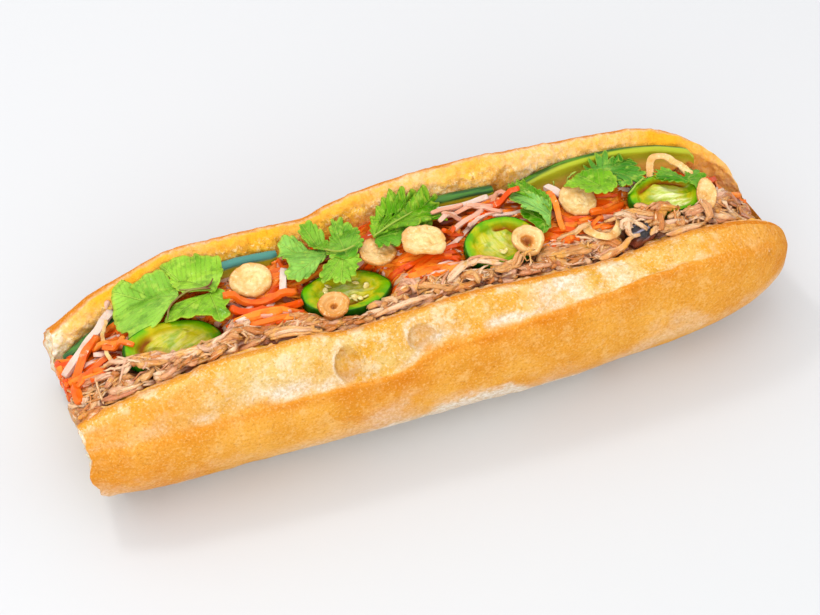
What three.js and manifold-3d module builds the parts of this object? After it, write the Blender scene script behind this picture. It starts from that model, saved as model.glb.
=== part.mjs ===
// Banh mi sandwich: a split ten-inch roll filled with pulled meat, pickled carrot and daikon,
// cucumber, jalapeno slices, cilantro, and fried garlic and shallot.
// Millimetres, +Z up. X runs along the loaf from the open cut end (-X) to the rounded tip (+X),
// -Y is the front with the long score, +Y is the back. The flat underside rests on Z = 0.

import * as THREE from 'three';
import { mergeVertices } from 'three/addons/utils/BufferGeometryUtils.js';
import Module from 'manifold-3d';

const wasm = await Module();
wasm.setup();

// ---------------------------------------------------------------- driving dimensions

const CUT_END = -124;
const TAPER_START = 70;
const WALL = 6.5;
const FLOOR = 10.5;
const GAP = 0.3;
const CHANNEL_GAP = 0.9;
const LOAF_STATIONS = 36;
const SECTION_STEPS = 2;
const CUCUMBER_STEP = 5;

// Rims, bulges and underside along the loaf, as [x, value] keys.
const frontRimY = curve([[-124, -23], [-105, -25], [-60, -26.5], [0, -27], [60, -26], [124, -25]]);
const frontRimZ = curve([[-124, 37], [-114, 42.5], [-100, 47], [-72, 52.5], [-50, 52.5], [-34, 50],
  [0, 52], [30, 49.5], [55, 47], [70, 49], [124, 51]]);
const backRimY = curve([[-124, 20], [-105, 25], [-85, 27.5], [0, 28], [124, 28]]);
const backRimZ = curve([[-124, 36], [-112, 41.5], [-96, 46], [-76, 51], [-45, 49.5], [-35, 49],
  [-25, 52.5], [-5, 55.5], [22, 56], [50, 53.5], [66, 52], [80, 51], [124, 50.5]]);
const frontBulgeY = curve([[-124, -32], [-105, -36.5], [-50, -38.5], [30, -39.5], [70, -38], [124, -37]]);
const backBulgeY = curve([[-124, 33], [-100, 37], [0, 39.5], [124, 38.5]]);
const undersideY = curve([[-124, -18], [-100, -22.5], [0, -25.5], [20, -27], [60, -24.5], [124, -24]]);
const earZ = curve([[-124, 33], [-80, 36], [-27, 38], [-9, 41.5], [48, 44], [62, 46], [124, 44]]);

// Each half of the roll closes on its own tip: where it ends, and how full the nose is.
const FRONT = { end: 124, tipY: -17, tipZ: 22, power: 2.5, root: 2.1 };
const UNDER = { end: 120, tipY: -8, tipZ: 12, power: 2.1, root: 1.8 };
const BACK = { end: 118.5, tipY: 4, tipZ: 27, power: 2.3, root: 1.9 };
const TIP_LEFT = 0.16;

// ---------------------------------------------------------------- small helpers

// Smooth monotone curve through [x, value] keys.
function curve(keys) {
  const slope = keys.slice(1).map(([x, v], i) => (v - keys[i][1]) / (x - keys[i][0]));
  const tangent = keys.map((key, i) => {
    if (i === 0) return slope[0];
    if (i === keys.length - 1) return slope[i - 1];
    const [a, b] = [slope[i - 1], slope[i]];
    return a * b <= 0 ? 0 : (2 * a * b) / (a + b);
  });
  return (x) => {
    const c = THREE.MathUtils.clamp(x, keys[0][0], keys[keys.length - 1][0]);
    let i = 0;
    while (i < keys.length - 2 && c > keys[i + 1][0]) i += 1;
    const h = keys[i + 1][0] - keys[i][0];
    const t = (c - keys[i][0]) / h;
    return (1 + 2 * t) * (1 - t) ** 2 * keys[i][1] + t * (1 - t) ** 2 * h * tangent[i]
      + t * t * (3 - 2 * t) * keys[i + 1][1] + t * t * (t - 1) * h * tangent[i + 1];
  };
}

const lerp = THREE.MathUtils.lerp;
const clamp = THREE.MathUtils.clamp;

// Seeded random numbers from 0 to 1.
function dice(seed) {
  let state = seed;
  return () => {
    state = (state * 1664525 + 1013904223) % 4294967296;
    return state / 4294967296;
  };
}

const between = (roll, low, high) => lerp(low, high, roll());

// A geometry becomes a solid, and a solid a geometry.
function solidOf(geometry) {
  const bare = geometry.clone();
  bare.deleteAttribute('normal');
  bare.deleteAttribute('uv');
  const merged = mergeVertices(bare, 1e-4);
  const vertProperties = new Float32Array(merged.getAttribute('position').array);
  const triVerts = new Uint32Array(merged.getIndex().array);
  return new wasm.Manifold(new wasm.Mesh({ numProp: 3, vertProperties, triVerts }));
}

function geometryOf(solid) {
  const mesh = solid.getMesh();
  const geometry = new THREE.BufferGeometry();
  geometry.setAttribute('position', new THREE.BufferAttribute(new Float32Array(mesh.vertProperties), 3));
  geometry.setIndex(new THREE.BufferAttribute(new Uint32Array(mesh.triVerts), 1));
  geometry.computeVertexNormals();
  return geometry;
}

function largestBody(solid) {
  const bodies = solid.decompose();
  return bodies.reduce((best, body) => (body.volume() > best.volume() ? body : best));
}

// A closed skin over rings of equal point count, shut by a flat-filled cap at each end.
function loft(rings) {
  const count = rings[0].length;
  const points = rings.flat();
  const faces = [];
  for (let i = 0; i < rings.length - 1; i += 1) {
    for (let j = 0; j < count; j += 1) {
      const a = i * count + j;
      const b = i * count + ((j + 1) % count);
      faces.push([a, b, b + count], [a, b + count, a + count]);
    }
  }
  const capFaces = (ring, base, alongRing) => {
    const flat = ring.map((p) => new THREE.Vector2(p.y, p.z));
    const ringTurn = Math.sign(THREE.ShapeUtils.area(flat));
    return THREE.ShapeUtils.triangulateShape(flat, []).map(([a, b, c]) => {
      const turn = Math.sign(THREE.ShapeUtils.area([flat[a], flat[b], flat[c]])) || ringTurn;
      const keep = (turn === ringTurn) === alongRing;
      return keep ? [base + a, base + b, base + c] : [base + a, base + c, base + b];
    });
  };
  faces.push(...capFaces(rings[0], 0, false));
  faces.push(...capFaces(rings[rings.length - 1], (rings.length - 1) * count, true));
  return solidFrom(points, faces);
}

// A solid from points and triangles, turned the right way out.
function solidFrom(points, faces) {
  let volume = 0;
  for (const [a, b, c] of faces) {
    volume += points[a].dot(new THREE.Vector3().crossVectors(points[b], points[c]));
  }
  const order = volume > 0 ? faces : faces.map(([a, b, c]) => [a, c, b]);
  const geometry = new THREE.BufferGeometry().setFromPoints(points);
  geometry.setIndex(order.flat());
  return solidOf(geometry);
}

// ---------------------------------------------------------------- the roll's section

// Control points in loop order from the front rim: half, cut-end X, and place at X.
const SECTION = [
  [FRONT, -124, (x) => [frontRimY(x), frontRimZ(x)]],
  [FRONT, -124, (x) => [lerp(frontRimY(x), frontBulgeY(x), 0.5), lerp(frontRimZ(x), earZ(x), 0.45)]],
  [FRONT, -124, (x) => [lerp(frontRimY(x), frontBulgeY(x), 0.74), earZ(x) + 1.2]],
  [FRONT, -124, (x) => [lerp(frontRimY(x), frontBulgeY(x), 0.9), earZ(x) - 1.2]],
  [FRONT, -123, (x) => [frontBulgeY(x), 0.48 * frontRimZ(x)]],
  [FRONT, -119, (x) => [lerp(frontBulgeY(x), undersideY(x), 0.2), 0.25 * frontRimZ(x)]],
  [UNDER, -115, (x) => [undersideY(x), 0]],
  [UNDER, -118, () => [0, -0.6]],
  [UNDER, -120, (x) => [-0.93 * undersideY(x), 0]],
  [BACK, -122, (x) => [0.92 * backBulgeY(x), 0.2 * backRimZ(x)]],
  [BACK, -123, (x) => [backBulgeY(x), 0.48 * backRimZ(x)]],
  [BACK, -123, (x) => [lerp(backRimY(x), backBulgeY(x), 0.66), 0.8 * backRimZ(x)]],
  [BACK, -123, (x) => [backRimY(x), backRimZ(x)]],
  [BACK, -123, (x) => [backRimY(x) - 0.85 * WALL, backRimZ(x) - 0.42 * WALL]],
  [BACK, -122, (x) => [0.68 * backRimY(x), 0.58 * backRimZ(x)]],
  [BACK, -120, (x) => [0.42 * backRimY(x), 0.3 * backRimZ(x)]],
  [UNDER, -119, () => [0, FLOOR]],
  [FRONT, -121, (x) => [0.42 * frontRimY(x), 0.3 * frontRimZ(x)]],
  [FRONT, -123, (x) => [0.68 * frontRimY(x), 0.58 * frontRimZ(x)]],
  [FRONT, -124, (x) => [frontRimY(x) + 0.85 * WALL, frontRimZ(x) - 0.42 * WALL]],
];
const FRONT_RIM = 0;
const BACK_RIM = 12;
const FLOOR_POINT = 16;

// Where control point i lies at x, with its half's taper towards the tip.
function controlAt(i, x) {
  const [half, start, place] = SECTION[i];
  const along = CUT_END + ((x - start) / (half.end - start)) * (half.end - CUT_END);
  const [y, z] = place(along);
  const s = clamp((x - TAPER_START) / (half.end - TAPER_START), 0, 1);
  const keep = Math.max(TIP_LEFT, (1 - s ** half.power) ** (1 / half.root));
  return [lerp(half.tipY, y, keep), lerp(half.tipZ, z, keep)];
}

// Closed Catmull-Rom loop through the control points at one fraction of the loaf's length.
function sectionRing(fraction, grow) {
  const knots = SECTION.map(([half, start], i) => {
    const x = lerp(start, half.end, fraction);
    return new THREE.Vector3(x, ...controlAt(i, x));
  });
  const loop = new THREE.CatmullRomCurve3(knots, true, 'centripetal');
  const ring = loop.getPoints(knots.length * SECTION_STEPS).slice(0, -1);
  const grown = ring.map((p, i) => {
    const ahead = ring[(i + 1) % ring.length];
    const behind = ring[(i + ring.length - 1) % ring.length];
    const normal = new THREE.Vector2(ahead.z - behind.z, behind.y - ahead.y).normalize();
    return new THREE.Vector3(p.x, p.y + grow * normal.x, Math.max(0, p.z) + grow * normal.y);
  });
  return grown;
}

function breadSolid(grow) {
  const rings = [];
  for (let i = 0; i <= LOAF_STATIONS; i += 1) {
    const t = i / LOAF_STATIONS;
    rings.push(sectionRing(t + 0.035 * Math.sin(Math.PI * 2 * t), grow));
  }
  return loft(rings);
}

// ---------------------------------------------------------------- the filled channel

// Inner wall Y of the front or back half at x and height z.
function wallY(x, z, controls) {
  const line = controls.map((i) => controlAt(i, x));
  for (let i = 0; i < line.length - 1; i += 1) {
    const [[y0, z0], [y1, z1]] = [line[i], line[i + 1]];
    if (z <= z1 || i === line.length - 2) return lerp(y0, y1, clamp((z - z0) / (z1 - z0), 0, 1));
  }
  return line[0][0];
}
const frontWallY = (x, z) => wallY(x, z, [16, 17, 18, 19]) + CHANNEL_GAP;
const backWallY = (x, z) => wallY(x, z, [16, 15, 14, 13]) - CHANNEL_GAP;

// Height of the heaped filling: level with both rims, crowned between them.
const CROWN = 4.5;
const FRONT_DROP = 2.5;
const BACK_DROP = 8.5;
function fillTop(x, y) {
  const [frontY, frontZ] = controlAt(FRONT_RIM, x);
  const [backY, backZ] = controlAt(BACK_RIM, x);
  const t = clamp((y - frontY - 6) / Math.max(backY - frontY - 13, 8), -0.1, 1.1);
  return lerp(frontZ - FRONT_DROP, backZ - BACK_DROP, t) + CROWN * 4 * t * (1 - t);
}

// A layer of the filling between shares s0 and s1 of the channel's width.
function layerSolid(layer) {
  const rings = [];
  const [columns, rows] = [4, 2];
  for (let i = 0; i <= layer.stations; i += 1) {
    const x = lerp(layer.from, layer.to, i / layer.stations);
    const at = (s, v) => {
      const middle = lerp(frontWallY(x, 45), backWallY(x, 45), s);
      const top = fillTop(x, middle) - layer.sunk + layer.bump * Math.sin(x * 0.37 + s * 19);
      const z = lerp(FLOOR + 3, top, v);
      return new THREE.Vector3(x, lerp(frontWallY(x, z), backWallY(x, z), s), z);
    };
    const ring = [];
    for (let j = 0; j < rows; j += 1) ring.push(at(layer.s0, j / rows));
    for (let j = 0; j < columns; j += 1) ring.push(at(lerp(layer.s0, layer.s1, j / columns), 1));
    for (let j = 0; j < rows; j += 1) ring.push(at(layer.s1, 1 - j / rows));
    ring.push(at(layer.s1, 0));
    rings.push(ring);
  }
  return loft(rings);
}

// ---------------------------------------------------------------- ribbons, discs and leaves

// A flat strip along points, with a rectangular section.
function ribbon(points, width, thick, lean) {
  const side = new THREE.Vector3();
  const rings = points.map((p, i) => {
    const ahead = points[Math.min(i + 1, points.length - 1)];
    const along = new THREE.Vector3().subVectors(ahead, points[Math.max(i - 1, 0)]).normalize();
    side.crossVectors(along, new THREE.Vector3(0, 0, 1)).normalize().applyAxisAngle(along, lean);
    const up = new THREE.Vector3().crossVectors(side, along);
    return [[-1, -1], [1, -1], [1, 1], [-1, 1]].map(([a, b]) => p.clone()
      .addScaledVector(side, a * width / 2).addScaledVector(up, b * thick / 2));
  });
  const points3 = rings.flat();
  const faces = [[0, 1, 2], [0, 2, 3]];
  const last = points3.length - 4;
  faces.push([last, last + 2, last + 1], [last, last + 3, last + 2]);
  for (let i = 0; i < rings.length - 1; i += 1) {
    for (let j = 0; j < 4; j += 1) {
      const a = i * 4 + j;
      const b = i * 4 + ((j + 1) % 4);
      faces.push([a, b + 4, b], [a, a + 4, b + 4]);
    }
  }
  return solidFrom(points3, faces);
}

// Places a solid: turned about its own axes, then set down at x, y with its height over the filling.
function placed(geometry, spot) {
  const matrix = new THREE.Matrix4().makeRotationFromEuler(
    new THREE.Euler(rad(spot.pitch ?? 0), rad(spot.roll ?? 0), rad(spot.yaw ?? 0), 'ZYX'),
  );
  const z = spot.z ?? fillTop(spot.x, spot.y) + (spot.lift ?? 0);
  matrix.setPosition(spot.x, spot.y, z);
  return solidOf(geometry.clone().applyMatrix4(matrix));
}
const rad = THREE.MathUtils.degToRad;

// A slice across a chilli: thick wall, thin sunken middle, cut aslant into an oval.
function chilliSlice(spot, grow) {
  const [r, h] = [spot.long / 2 + grow, spot.thick / 2 + grow];
  const web = grow > 0 ? h : h - 1.1;
  const profile = [[0, -web], [0.68 * r, -web], [0.74 * r, -h], [0.95 * r, -h],
    [r, 0], [0.95 * r, h], [0.74 * r, h], [0.68 * r, web], [0, web]];
  const solid = new THREE.LatheGeometry(profile.map(([a, b]) => new THREE.Vector2(a, b)), 18);
  solid.rotateX(Math.PI / 2);
  solid.scale(1, (spot.wide / 2 + grow) / r, 1);
  return placed(solid, spot);
}

// A fried slice of garlic or shallot: a cupped disc, with a hole where the core fell out.
function friedSlice(spot, grow) {
  const [r, h] = [spot.long / 2 + grow, spot.thick / 2 + grow];
  const hole = Math.max((spot.hole ?? 0) / 2 - grow, 0);
  const cup = 0.09 * r;
  const profile = [[hole, -h], [0.55 * r, -h], [0.97 * r, cup - h], [0.97 * r, cup + h],
    [0.5 * r, h], [hole, 0.8 * h]];
  if (hole > 0) profile.push([hole, -h]);
  const solid = new THREE.LatheGeometry(profile.map(([a, b]) => new THREE.Vector2(a, b)), 14);
  solid.rotateX(Math.PI / 2);
  solid.scale(1, (spot.wide / 2 + grow) / r, 1);
  return placed(solid, spot);
}

// A cilantro leaf: a thin wavy fan with toothed lobes, both faces split alike.
function leafSolid(spot, grow) {
  const [spokes, rings] = [spot.lobes > 3 ? 24 : 18, 2];
  const half = 0.3 + grow;
  const sheet = (side) => {
    const points = [new THREE.Vector3(0, 0, side * half)];
    for (let k = 1; k <= rings; k += 1) {
      for (let i = 0; i < spokes; i += 1) {
        const angle = (i / spokes) * Math.PI * 2;
        const lobe = Math.abs(Math.sin((spot.lobes * angle) / 2)) ** 0.7;
        const tooth = 0.09 * Math.cos(spot.lobes * 3 * angle);
        const reach = (k / rings) * (spot.long / 2) * (0.5 + 0.42 * lobe + tooth) + grow;
        const wave = 0.07 * spot.long * (k / rings) ** 2 * Math.sin(angle * 2 + spot.x);
        points.push(new THREE.Vector3(
          reach * Math.cos(angle),
          reach * Math.sin(angle) * (spot.wide / spot.long),
          side * half + wave,
        ));
      }
    }
    return points;
  };
  const top = sheet(1);
  const points = [...top, ...sheet(-1)];
  const faces = [];
  const spokeAt = (k, i) => 1 + (k - 1) * spokes + (i % spokes);
  const both = (a, b, c) => faces.push([a, b, c], [a + top.length, c + top.length, b + top.length]);
  for (let i = 0; i < spokes; i += 1) {
    both(0, spokeAt(1, i), spokeAt(1, i + 1));
    for (let k = 1; k < rings; k += 1) {
      both(spokeAt(k, i), spokeAt(k + 1, i), spokeAt(k + 1, i + 1));
      both(spokeAt(k, i), spokeAt(k + 1, i + 1), spokeAt(k, i + 1));
    }
    const [a, b] = [spokeAt(rings, i), spokeAt(rings, i + 1)];
    faces.push([a, a + top.length, b + top.length], [a, b + top.length, b]);
  }
  const solid = solidFrom(points, faces);
  return placed(geometryOf(solid), spot);
}

// A ribbon of fried shallot, meat or daikon through listed [x, y, lift] places.
function curl(spot, grow) {
  const path = new THREE.CatmullRomCurve3(
    spot.path.map(([x, y, lift]) => new THREE.Vector3(x, y, fillTop(x, y) + lift)),
  );
  const steps = spot.steps ?? 10;
  return ribbon(path.getPoints(steps), spot.wide + 2 * grow, spot.thick + 2 * grow, spot.lean ?? 0);
}

// A long slice of cucumber standing against the back wall, skin edge up, through its top's [x, z].
function cucumberSlice(spot, grow) {
  const top = curve(spot.top);
  const [from, to] = [spot.top[0][0], spot.top[spot.top.length - 1][0]];
  const half = spot.thick / 2 + grow;
  const steps = Math.ceil((to - from) / CUCUMBER_STEP);
  const rings = [];
  for (let i = 0; i <= steps; i += 1) {
    const t = i / steps;
    const x = lerp(from - grow, to + grow, t);
    const depth = spot.depth * Math.sqrt(Math.max(1 - (2 * t - 1) ** 6, 0.12)) + grow;
    const edge = top(x) - 1 + grow;
    const section = [[half, edge], [0.5 * half, edge + 1], [-0.5 * half, edge + 1], [-half, edge],
      [-half, edge - depth], [half, edge - depth]];
    rings.push(section.map(([side, z]) => (
      new THREE.Vector3(x, backWallY(x, z) - spot.inset - spot.thick / 2 + side, z)
    )));
  }
  return loft(rings);
}

// A knob of charred meat.
function charSolid(spot, grow) {
  const knob = new THREE.IcosahedronGeometry(1, 1);
  const at = knob.getAttribute('position');
  for (let i = 0; i < at.count; i += 1) {
    const p = new THREE.Vector3().fromBufferAttribute(at, i);
    const swell = 1 + 0.14 * Math.sin(4.1 * p.x + 2) * Math.cos(3.3 * p.y) + 0.08 * Math.sin(5 * p.z);
    at.setXYZ(i, ...p.multiplyScalar(swell).toArray());
  }
  knob.scale(spot.long / 2 + grow, spot.wide / 2 + grow, spot.thick / 2 + grow);
  return placed(knob, spot);
}

// One strip laid over a layer of the filling, following its surface from a random place.
function looseStrip(rule, slot, roll) {
  const x = lerp(rule.from, rule.to, (slot + roll()) / rule.count);
  const y = lerp(frontWallY(x, 45), backWallY(x, 45), between(roll, rule.s0, rule.s1));
  const heading = between(roll, -rule.spread, rule.spread);
  const long = between(roll, rule.long[0], rule.long[1]);
  const bend = between(roll, -rule.bend, rule.bend);
  const rise = between(roll, 0, rule.rise);
  const points = [-0.5, -0.17, 0.17, 0.5].map((t) => {
    const px = clamp(x + t * long * Math.cos(heading), rule.from, rule.to);
    const py = y + t * long * Math.sin(heading) + bend * (4 * t * t - 0.5);
    const side = clamp(py, frontWallY(px, 45) + 1, backWallY(px, 45) - 1);
    return new THREE.Vector3(px, side, fillTop(px, side) - rule.sunk + rise);
  });
  const wide = between(roll, rule.wide[0], rule.wide[1]);
  return ribbon(points, wide, wide * rule.flat, between(roll, -0.5, 0.5));
}

// The strips of one heap: each slot along it takes the first random strip that misses the toppings.
function scattered(rule, toppings) {
  const roll = dice(rule.seed);
  const misses = (strip) => toppings.every((topping) => strip.intersect(topping).isEmpty());
  const strips = [];
  for (let slot = 0; slot < rule.count; slot += 1) {
    for (let attempt = 0; attempt < rule.attempts; attempt += 1) {
      const strip = looseStrip(rule, slot, roll);
      if (!misses(strip)) continue;
      strips.push(strip);
      break;
    }
  }
  return strips;
}

// ---------------------------------------------------------------- toppings, where they lie

const CHILLIES = [
  { x: -89.4, y: -8.4, lift: -2.4, long: 32, wide: 18, thick: 4.5, yaw: -3, pitch: 16, roll: 3 },
  { x: -31.4, y: -8, lift: -1.4, long: 30, wide: 18.5, thick: 4.2, yaw: -4, pitch: -3, roll: 2 },
  { x: 22, y: -7.4, lift: -1.2, long: 25, wide: 19, thick: 5, yaw: 4, pitch: 8, roll: -3 },
  { x: 82.5, y: -5, lift: -0.8, long: 26, wide: 16.5, thick: 4.5, yaw: -8, pitch: 4, roll: 4 },
];

const FRIED = [
  { x: -58.6, y: 6.5, lift: 1.4, long: 14, wide: 14, thick: 2.2, yaw: 10, pitch: 4, roll: -6 },
  { x: -38, y: -15.6, lift: 3.6, long: 10.6, wide: 9.6, thick: 2.2, yaw: 20, pitch: 12, roll: -4 },
  { x: -17.5, y: 1, lift: 1.8, long: 14, wide: 12.5, thick: 2, yaw: 40, pitch: 4, roll: 10 },
  { x: -2.5, y: -2, lift: 2.6, long: 15.8, wide: 14.4, thick: 2.3, yaw: -14, pitch: -2, roll: 8 },
  { x: 29.5, y: -12, lift: 3.6, long: 11.2, wide: 11.2, thick: 2.8, hole: 3, yaw: 0, pitch: 20, roll: 4 },
  { x: 53.5, y: 1.5, lift: 2, long: 13.2, wide: 13, thick: 2.2, yaw: -20, pitch: 8, roll: 8 },
  { x: 94.8, y: -10.9, lift: 3, long: 11.6, wide: 7.4, thick: 2.2, yaw: 69, pitch: 8, roll: -16 },
];

const LEAVES = [
  { x: -92.6, y: 11.4, lift: 5.4, long: 28, wide: 24, lobes: 5, yaw: 70, pitch: 16, roll: -6 },
  { x: -74.4, y: 14.2, lift: 6, long: 25, wide: 24, lobes: 5, yaw: 60, pitch: 14, roll: 2 },
  { x: -78.9, y: -3, lift: 4, long: 25, wide: 19, lobes: 3, yaw: 10, pitch: 4, roll: 4 },
  { x: -40.2, y: 9.8, lift: 5, long: 25, wide: 19, lobes: 5, yaw: 100, pitch: 10, roll: -6 },
  { x: -33.6, y: 17, lift: 8, long: 16, wide: 11, lobes: 3, yaw: 110, pitch: 16, roll: 0 },
  { x: -25.9, y: 9.6, lift: 5.4, long: 23, wide: 15, lobes: 5, yaw: 80, pitch: 12, roll: 4 },
  { x: -30.4, y: 0.2, lift: 5.2, long: 19, wide: 17, lobes: 3, yaw: 80, pitch: 10, roll: -4 },
  { x: -2.6, y: 9.8, lift: 3.8, long: 33, wide: 26, lobes: 5, yaw: 25, pitch: 3, roll: 2 },
  { x: 37.8, y: 4.4, lift: 4.8, long: 28, wide: 15, lobes: 3, yaw: 108, pitch: 14, roll: 8 },
  { x: 70.8, y: 9.4, lift: 4.8, long: 24, wide: 20, lobes: 5, yaw: 0, pitch: 6, roll: 4 },
  { x: 58.8, y: 4.8, lift: 5.2, long: 21, wide: 16, lobes: 3, yaw: 160, pitch: 6, roll: -6 },
  { x: 90.5, y: 0, lift: 4, long: 20, wide: 14, lobes: 3, yaw: -30, pitch: 8, roll: 4 },
];

const CUCUMBERS = [
  { top: [[-121, 33], [-110, 37], [-97, 40]], depth: 15, thick: 3.2, inset: 0.6 },
  { top: [[-80, 46.5], [-64, 48], [-46, 46.5]], depth: 19, thick: 3.2, inset: 0.6 },
  { top: [[-1, 51], [12, 51.5], [30, 50]], depth: 19, thick: 3.2, inset: 0.6 },
  { top: [[35, 46], [48, 50], [60, 51.5], [72, 51.2], [88, 49], [103, 45.5]], depth: 22, thick: 3.6,
    inset: 0.4 },
];

const CURLS = [
  { wide: 1.6, thick: 1.2,
    path: [[-104.8, 14.8, 3.6], [-108.7, 1.3, 3], [-108.7, -5.2, 3], [-106.1, -8, 3]] },
  { wide: 2.4, thick: 1.2, steps: 12,
    path: [[80.8, 3.2, 2], [86.1, 11.6, 5], [91.3, 9.7, 5], [94.8, -0.8, 3.5]] },
  { wide: 2.8, thick: 1.2, steps: 12,
    path: [[51.5, -9, 2.4], [53.9, -14.4, 2.8], [59.7, -15.2, 3], [63.4, -11, 2.2]] },
];

const DAIKON = [
  { wide: 3.6, thick: 2, steps: 8, path: [[-102, 19, 4.6], [-112, 9, 3], [-123, 0, 1.8]] },
  { wide: 3, thick: 1.8, steps: 5, path: [[-47, 8, 1.8], [-51, -4, 1.6]] },
  { wide: 2.8, thick: 1.8, steps: 6, path: [[8, 13, 1.8], [16, 11, 2.4], [26, 13, 1.8]] },
  { wide: 3, thick: 1.8, steps: 5, path: [[46.5, 12, 2], [49.5, 5, 2.4]] },
];

const CHAR = { x: 67.5, y: -18, lift: 1.6, long: 9.2, wide: 7, thick: 6.5, yaw: 20, pitch: 10 };

// ---------------------------------------------------------------- assembly

const FINISH = {
  crust: { color: 0xd9963f, roughness: 0.6 },
  meat: { color: 0xb98a63, roughness: 0.45 },
  pickle: { color: 0xee6c2a, roughness: 0.3 },
  daikon: { color: 0xeadfd2, roughness: 0.3 },
  cucumber: { color: 0xa9bf4e, roughness: 0.3 },
  chilli: { color: 0x7fae2f, roughness: 0.25 },
  leaf: { color: 0x4f9a2c, roughness: 0.4 },
  fried: { color: 0xe6bd80, roughness: 0.5 },
  char: { color: 0x2e2226, roughness: 0.2 },
};

const group = new THREE.Group();
const keepOut = [];

// Adds a node, trimmed clear of everything placed before it.
function addNode(name, finish, make) {
  let solid = make(0);
  for (const taken of keepOut) solid = solid.subtract(taken);
  solid = largestBody(solid);
  const mesh = new THREE.Mesh(
    geometryOf(solid),
    new THREE.MeshStandardMaterial({ ...FINISH[finish], metalness: 0 }),
  );
  mesh.name = name;
  group.add(mesh);
  keepOut.push(make(GAP));
}

// A heap: its core cut clear of the toppings, with the strips that miss them fused on.
function addHeap(name, finish, layer, rule) {
  addNode(name, finish, (grow) => {
    if (grow > 0) return layerSolid(layer);
    return wasm.Manifold.union([layerSolid(layer), ...scattered(rule, keepOut.slice(1))]);
  });
}

// Two burst bubbles in the front crust: [x, y, z, radius].
const BUBBLES = [[-38.8, -33.4, 43.4, 5], [-37.6, -31.4, 48, 4.2], [-15.5, -32.6, 46.4, 4.8]];

function breadWithBubbles(grow) {
  let bread = breadSolid(grow);
  if (grow > 0) return bread;
  for (const [x, y, z, r] of BUBBLES) {
    const ball = new THREE.SphereGeometry(r, 12, 8);
    ball.scale(1, 0.6, 1);
    ball.translate(x, y, z);
    bread = bread.subtract(solidOf(ball));
  }
  return bread;
}

const PICKLE_LAYER = { s0: 0.35, s1: 0.86, from: -121.5, to: 108, stations: 26, sunk: 2.6, bump: 0.7 };
const MEAT_LAYER = { s0: 0, s1: 0.34, from: -122.5, to: 110, stations: 26, sunk: 2.2, bump: 0.8 };
const PICKLE_STRIPS = { seed: 8, count: 22, attempts: 12, from: -119, to: 106, s0: 0.37, s1: 0.82,
  spread: 0.9, bend: 3, long: [15, 28], wide: [2.6, 3.4], flat: 0.7, sunk: 2, rise: 1.8 };
const MEAT_STRIPS = { seed: 21, count: 34, attempts: 12, from: -121.5, to: 108, s0: 0.04, s1: 0.33,
  spread: 0.35, bend: 2, long: [16, 32], wide: [2.8, 5], flat: 0.5, sunk: 1.6, rise: 2.6 };

addNode('bread', 'crust', breadWithBubbles);
CHILLIES.forEach((spot, i) => addNode(`jalapeno_${i + 1}`, 'chilli', (g) => chilliSlice(spot, g)));
FRIED.forEach((spot, i) => addNode(`fried_slice_${i + 1}`, 'fried', (g) => friedSlice(spot, g)));
addNode('charred_meat', 'char', (g) => charSolid(CHAR, g));
CUCUMBERS.forEach((spot, i) => addNode(`cucumber_${i + 1}`, 'cucumber', (g) => cucumberSlice(spot, g)));
LEAVES.forEach((spot, i) => addNode(`cilantro_${i + 1}`, 'leaf', (g) => leafSolid(spot, g)));
CURLS.forEach((spot, i) => addNode(`fried_shallot_${i + 1}`, 'fried', (g) => curl(spot, g)));
DAIKON.forEach((spot, i) => addNode(`daikon_${i + 1}`, 'daikon', (g) => curl(spot, g)));
addHeap('pulled_meat', 'meat', MEAT_LAYER, MEAT_STRIPS);
addHeap('pickled_carrot', 'pickle', PICKLE_LAYER, PICKLE_STRIPS);

export default group;
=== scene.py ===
"""A banh mi sandwich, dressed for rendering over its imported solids.

Shapes are worked out in millimetres and become metres when a piece is made. X runs along the loaf
from the open cut end (-X) to the rounded tip (+X), -Y is the front with the long score, +Z is up.
"""

import itertools
import math

import bpy
import numpy as np
from mathutils import Matrix, Vector


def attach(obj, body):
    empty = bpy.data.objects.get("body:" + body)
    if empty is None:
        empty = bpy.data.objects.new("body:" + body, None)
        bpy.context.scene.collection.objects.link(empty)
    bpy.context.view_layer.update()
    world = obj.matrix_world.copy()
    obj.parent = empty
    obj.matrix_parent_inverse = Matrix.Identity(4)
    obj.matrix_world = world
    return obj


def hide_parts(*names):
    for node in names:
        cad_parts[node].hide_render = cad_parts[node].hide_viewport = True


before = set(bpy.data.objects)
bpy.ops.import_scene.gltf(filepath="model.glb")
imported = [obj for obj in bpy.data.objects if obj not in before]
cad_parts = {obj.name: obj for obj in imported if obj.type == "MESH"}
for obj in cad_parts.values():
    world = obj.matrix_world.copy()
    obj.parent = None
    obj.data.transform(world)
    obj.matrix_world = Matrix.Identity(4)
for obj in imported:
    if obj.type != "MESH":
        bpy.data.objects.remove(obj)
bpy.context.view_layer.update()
MM = 0.001

# ---------------------------------------------------------------- camera, light and floor

IMAGE_WIDTH = 820
FOCAL_PIXELS = 2100
SENSOR = 36.0
CAMERA_PLACE = Vector((-0.1729, -0.4383, 0.5442))
CAMERA_AZIMUTH = math.radians(-20.8)
CAMERA_HEIGHT = math.radians(48)


def add_camera():
    data = bpy.data.cameras.new("camera")
    data.sensor_width = SENSOR
    data.lens = SENSOR * FOCAL_PIXELS / IMAGE_WIDTH
    camera = bpy.data.objects.new("camera", data)
    bpy.context.scene.collection.objects.link(camera)
    flat = math.cos(CAMERA_HEIGHT)
    back = Vector((math.sin(CAMERA_AZIMUTH) * flat, -math.cos(CAMERA_AZIMUTH) * flat,
                   math.sin(CAMERA_HEIGHT)))
    camera.location = CAMERA_PLACE
    camera.rotation_euler = (-back).to_track_quat("-Z", "Y").to_euler()
    bpy.context.scene.camera = camera


add_camera()


SKY_COLOUR = (0.965, 0.98, 1, 1)
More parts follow.
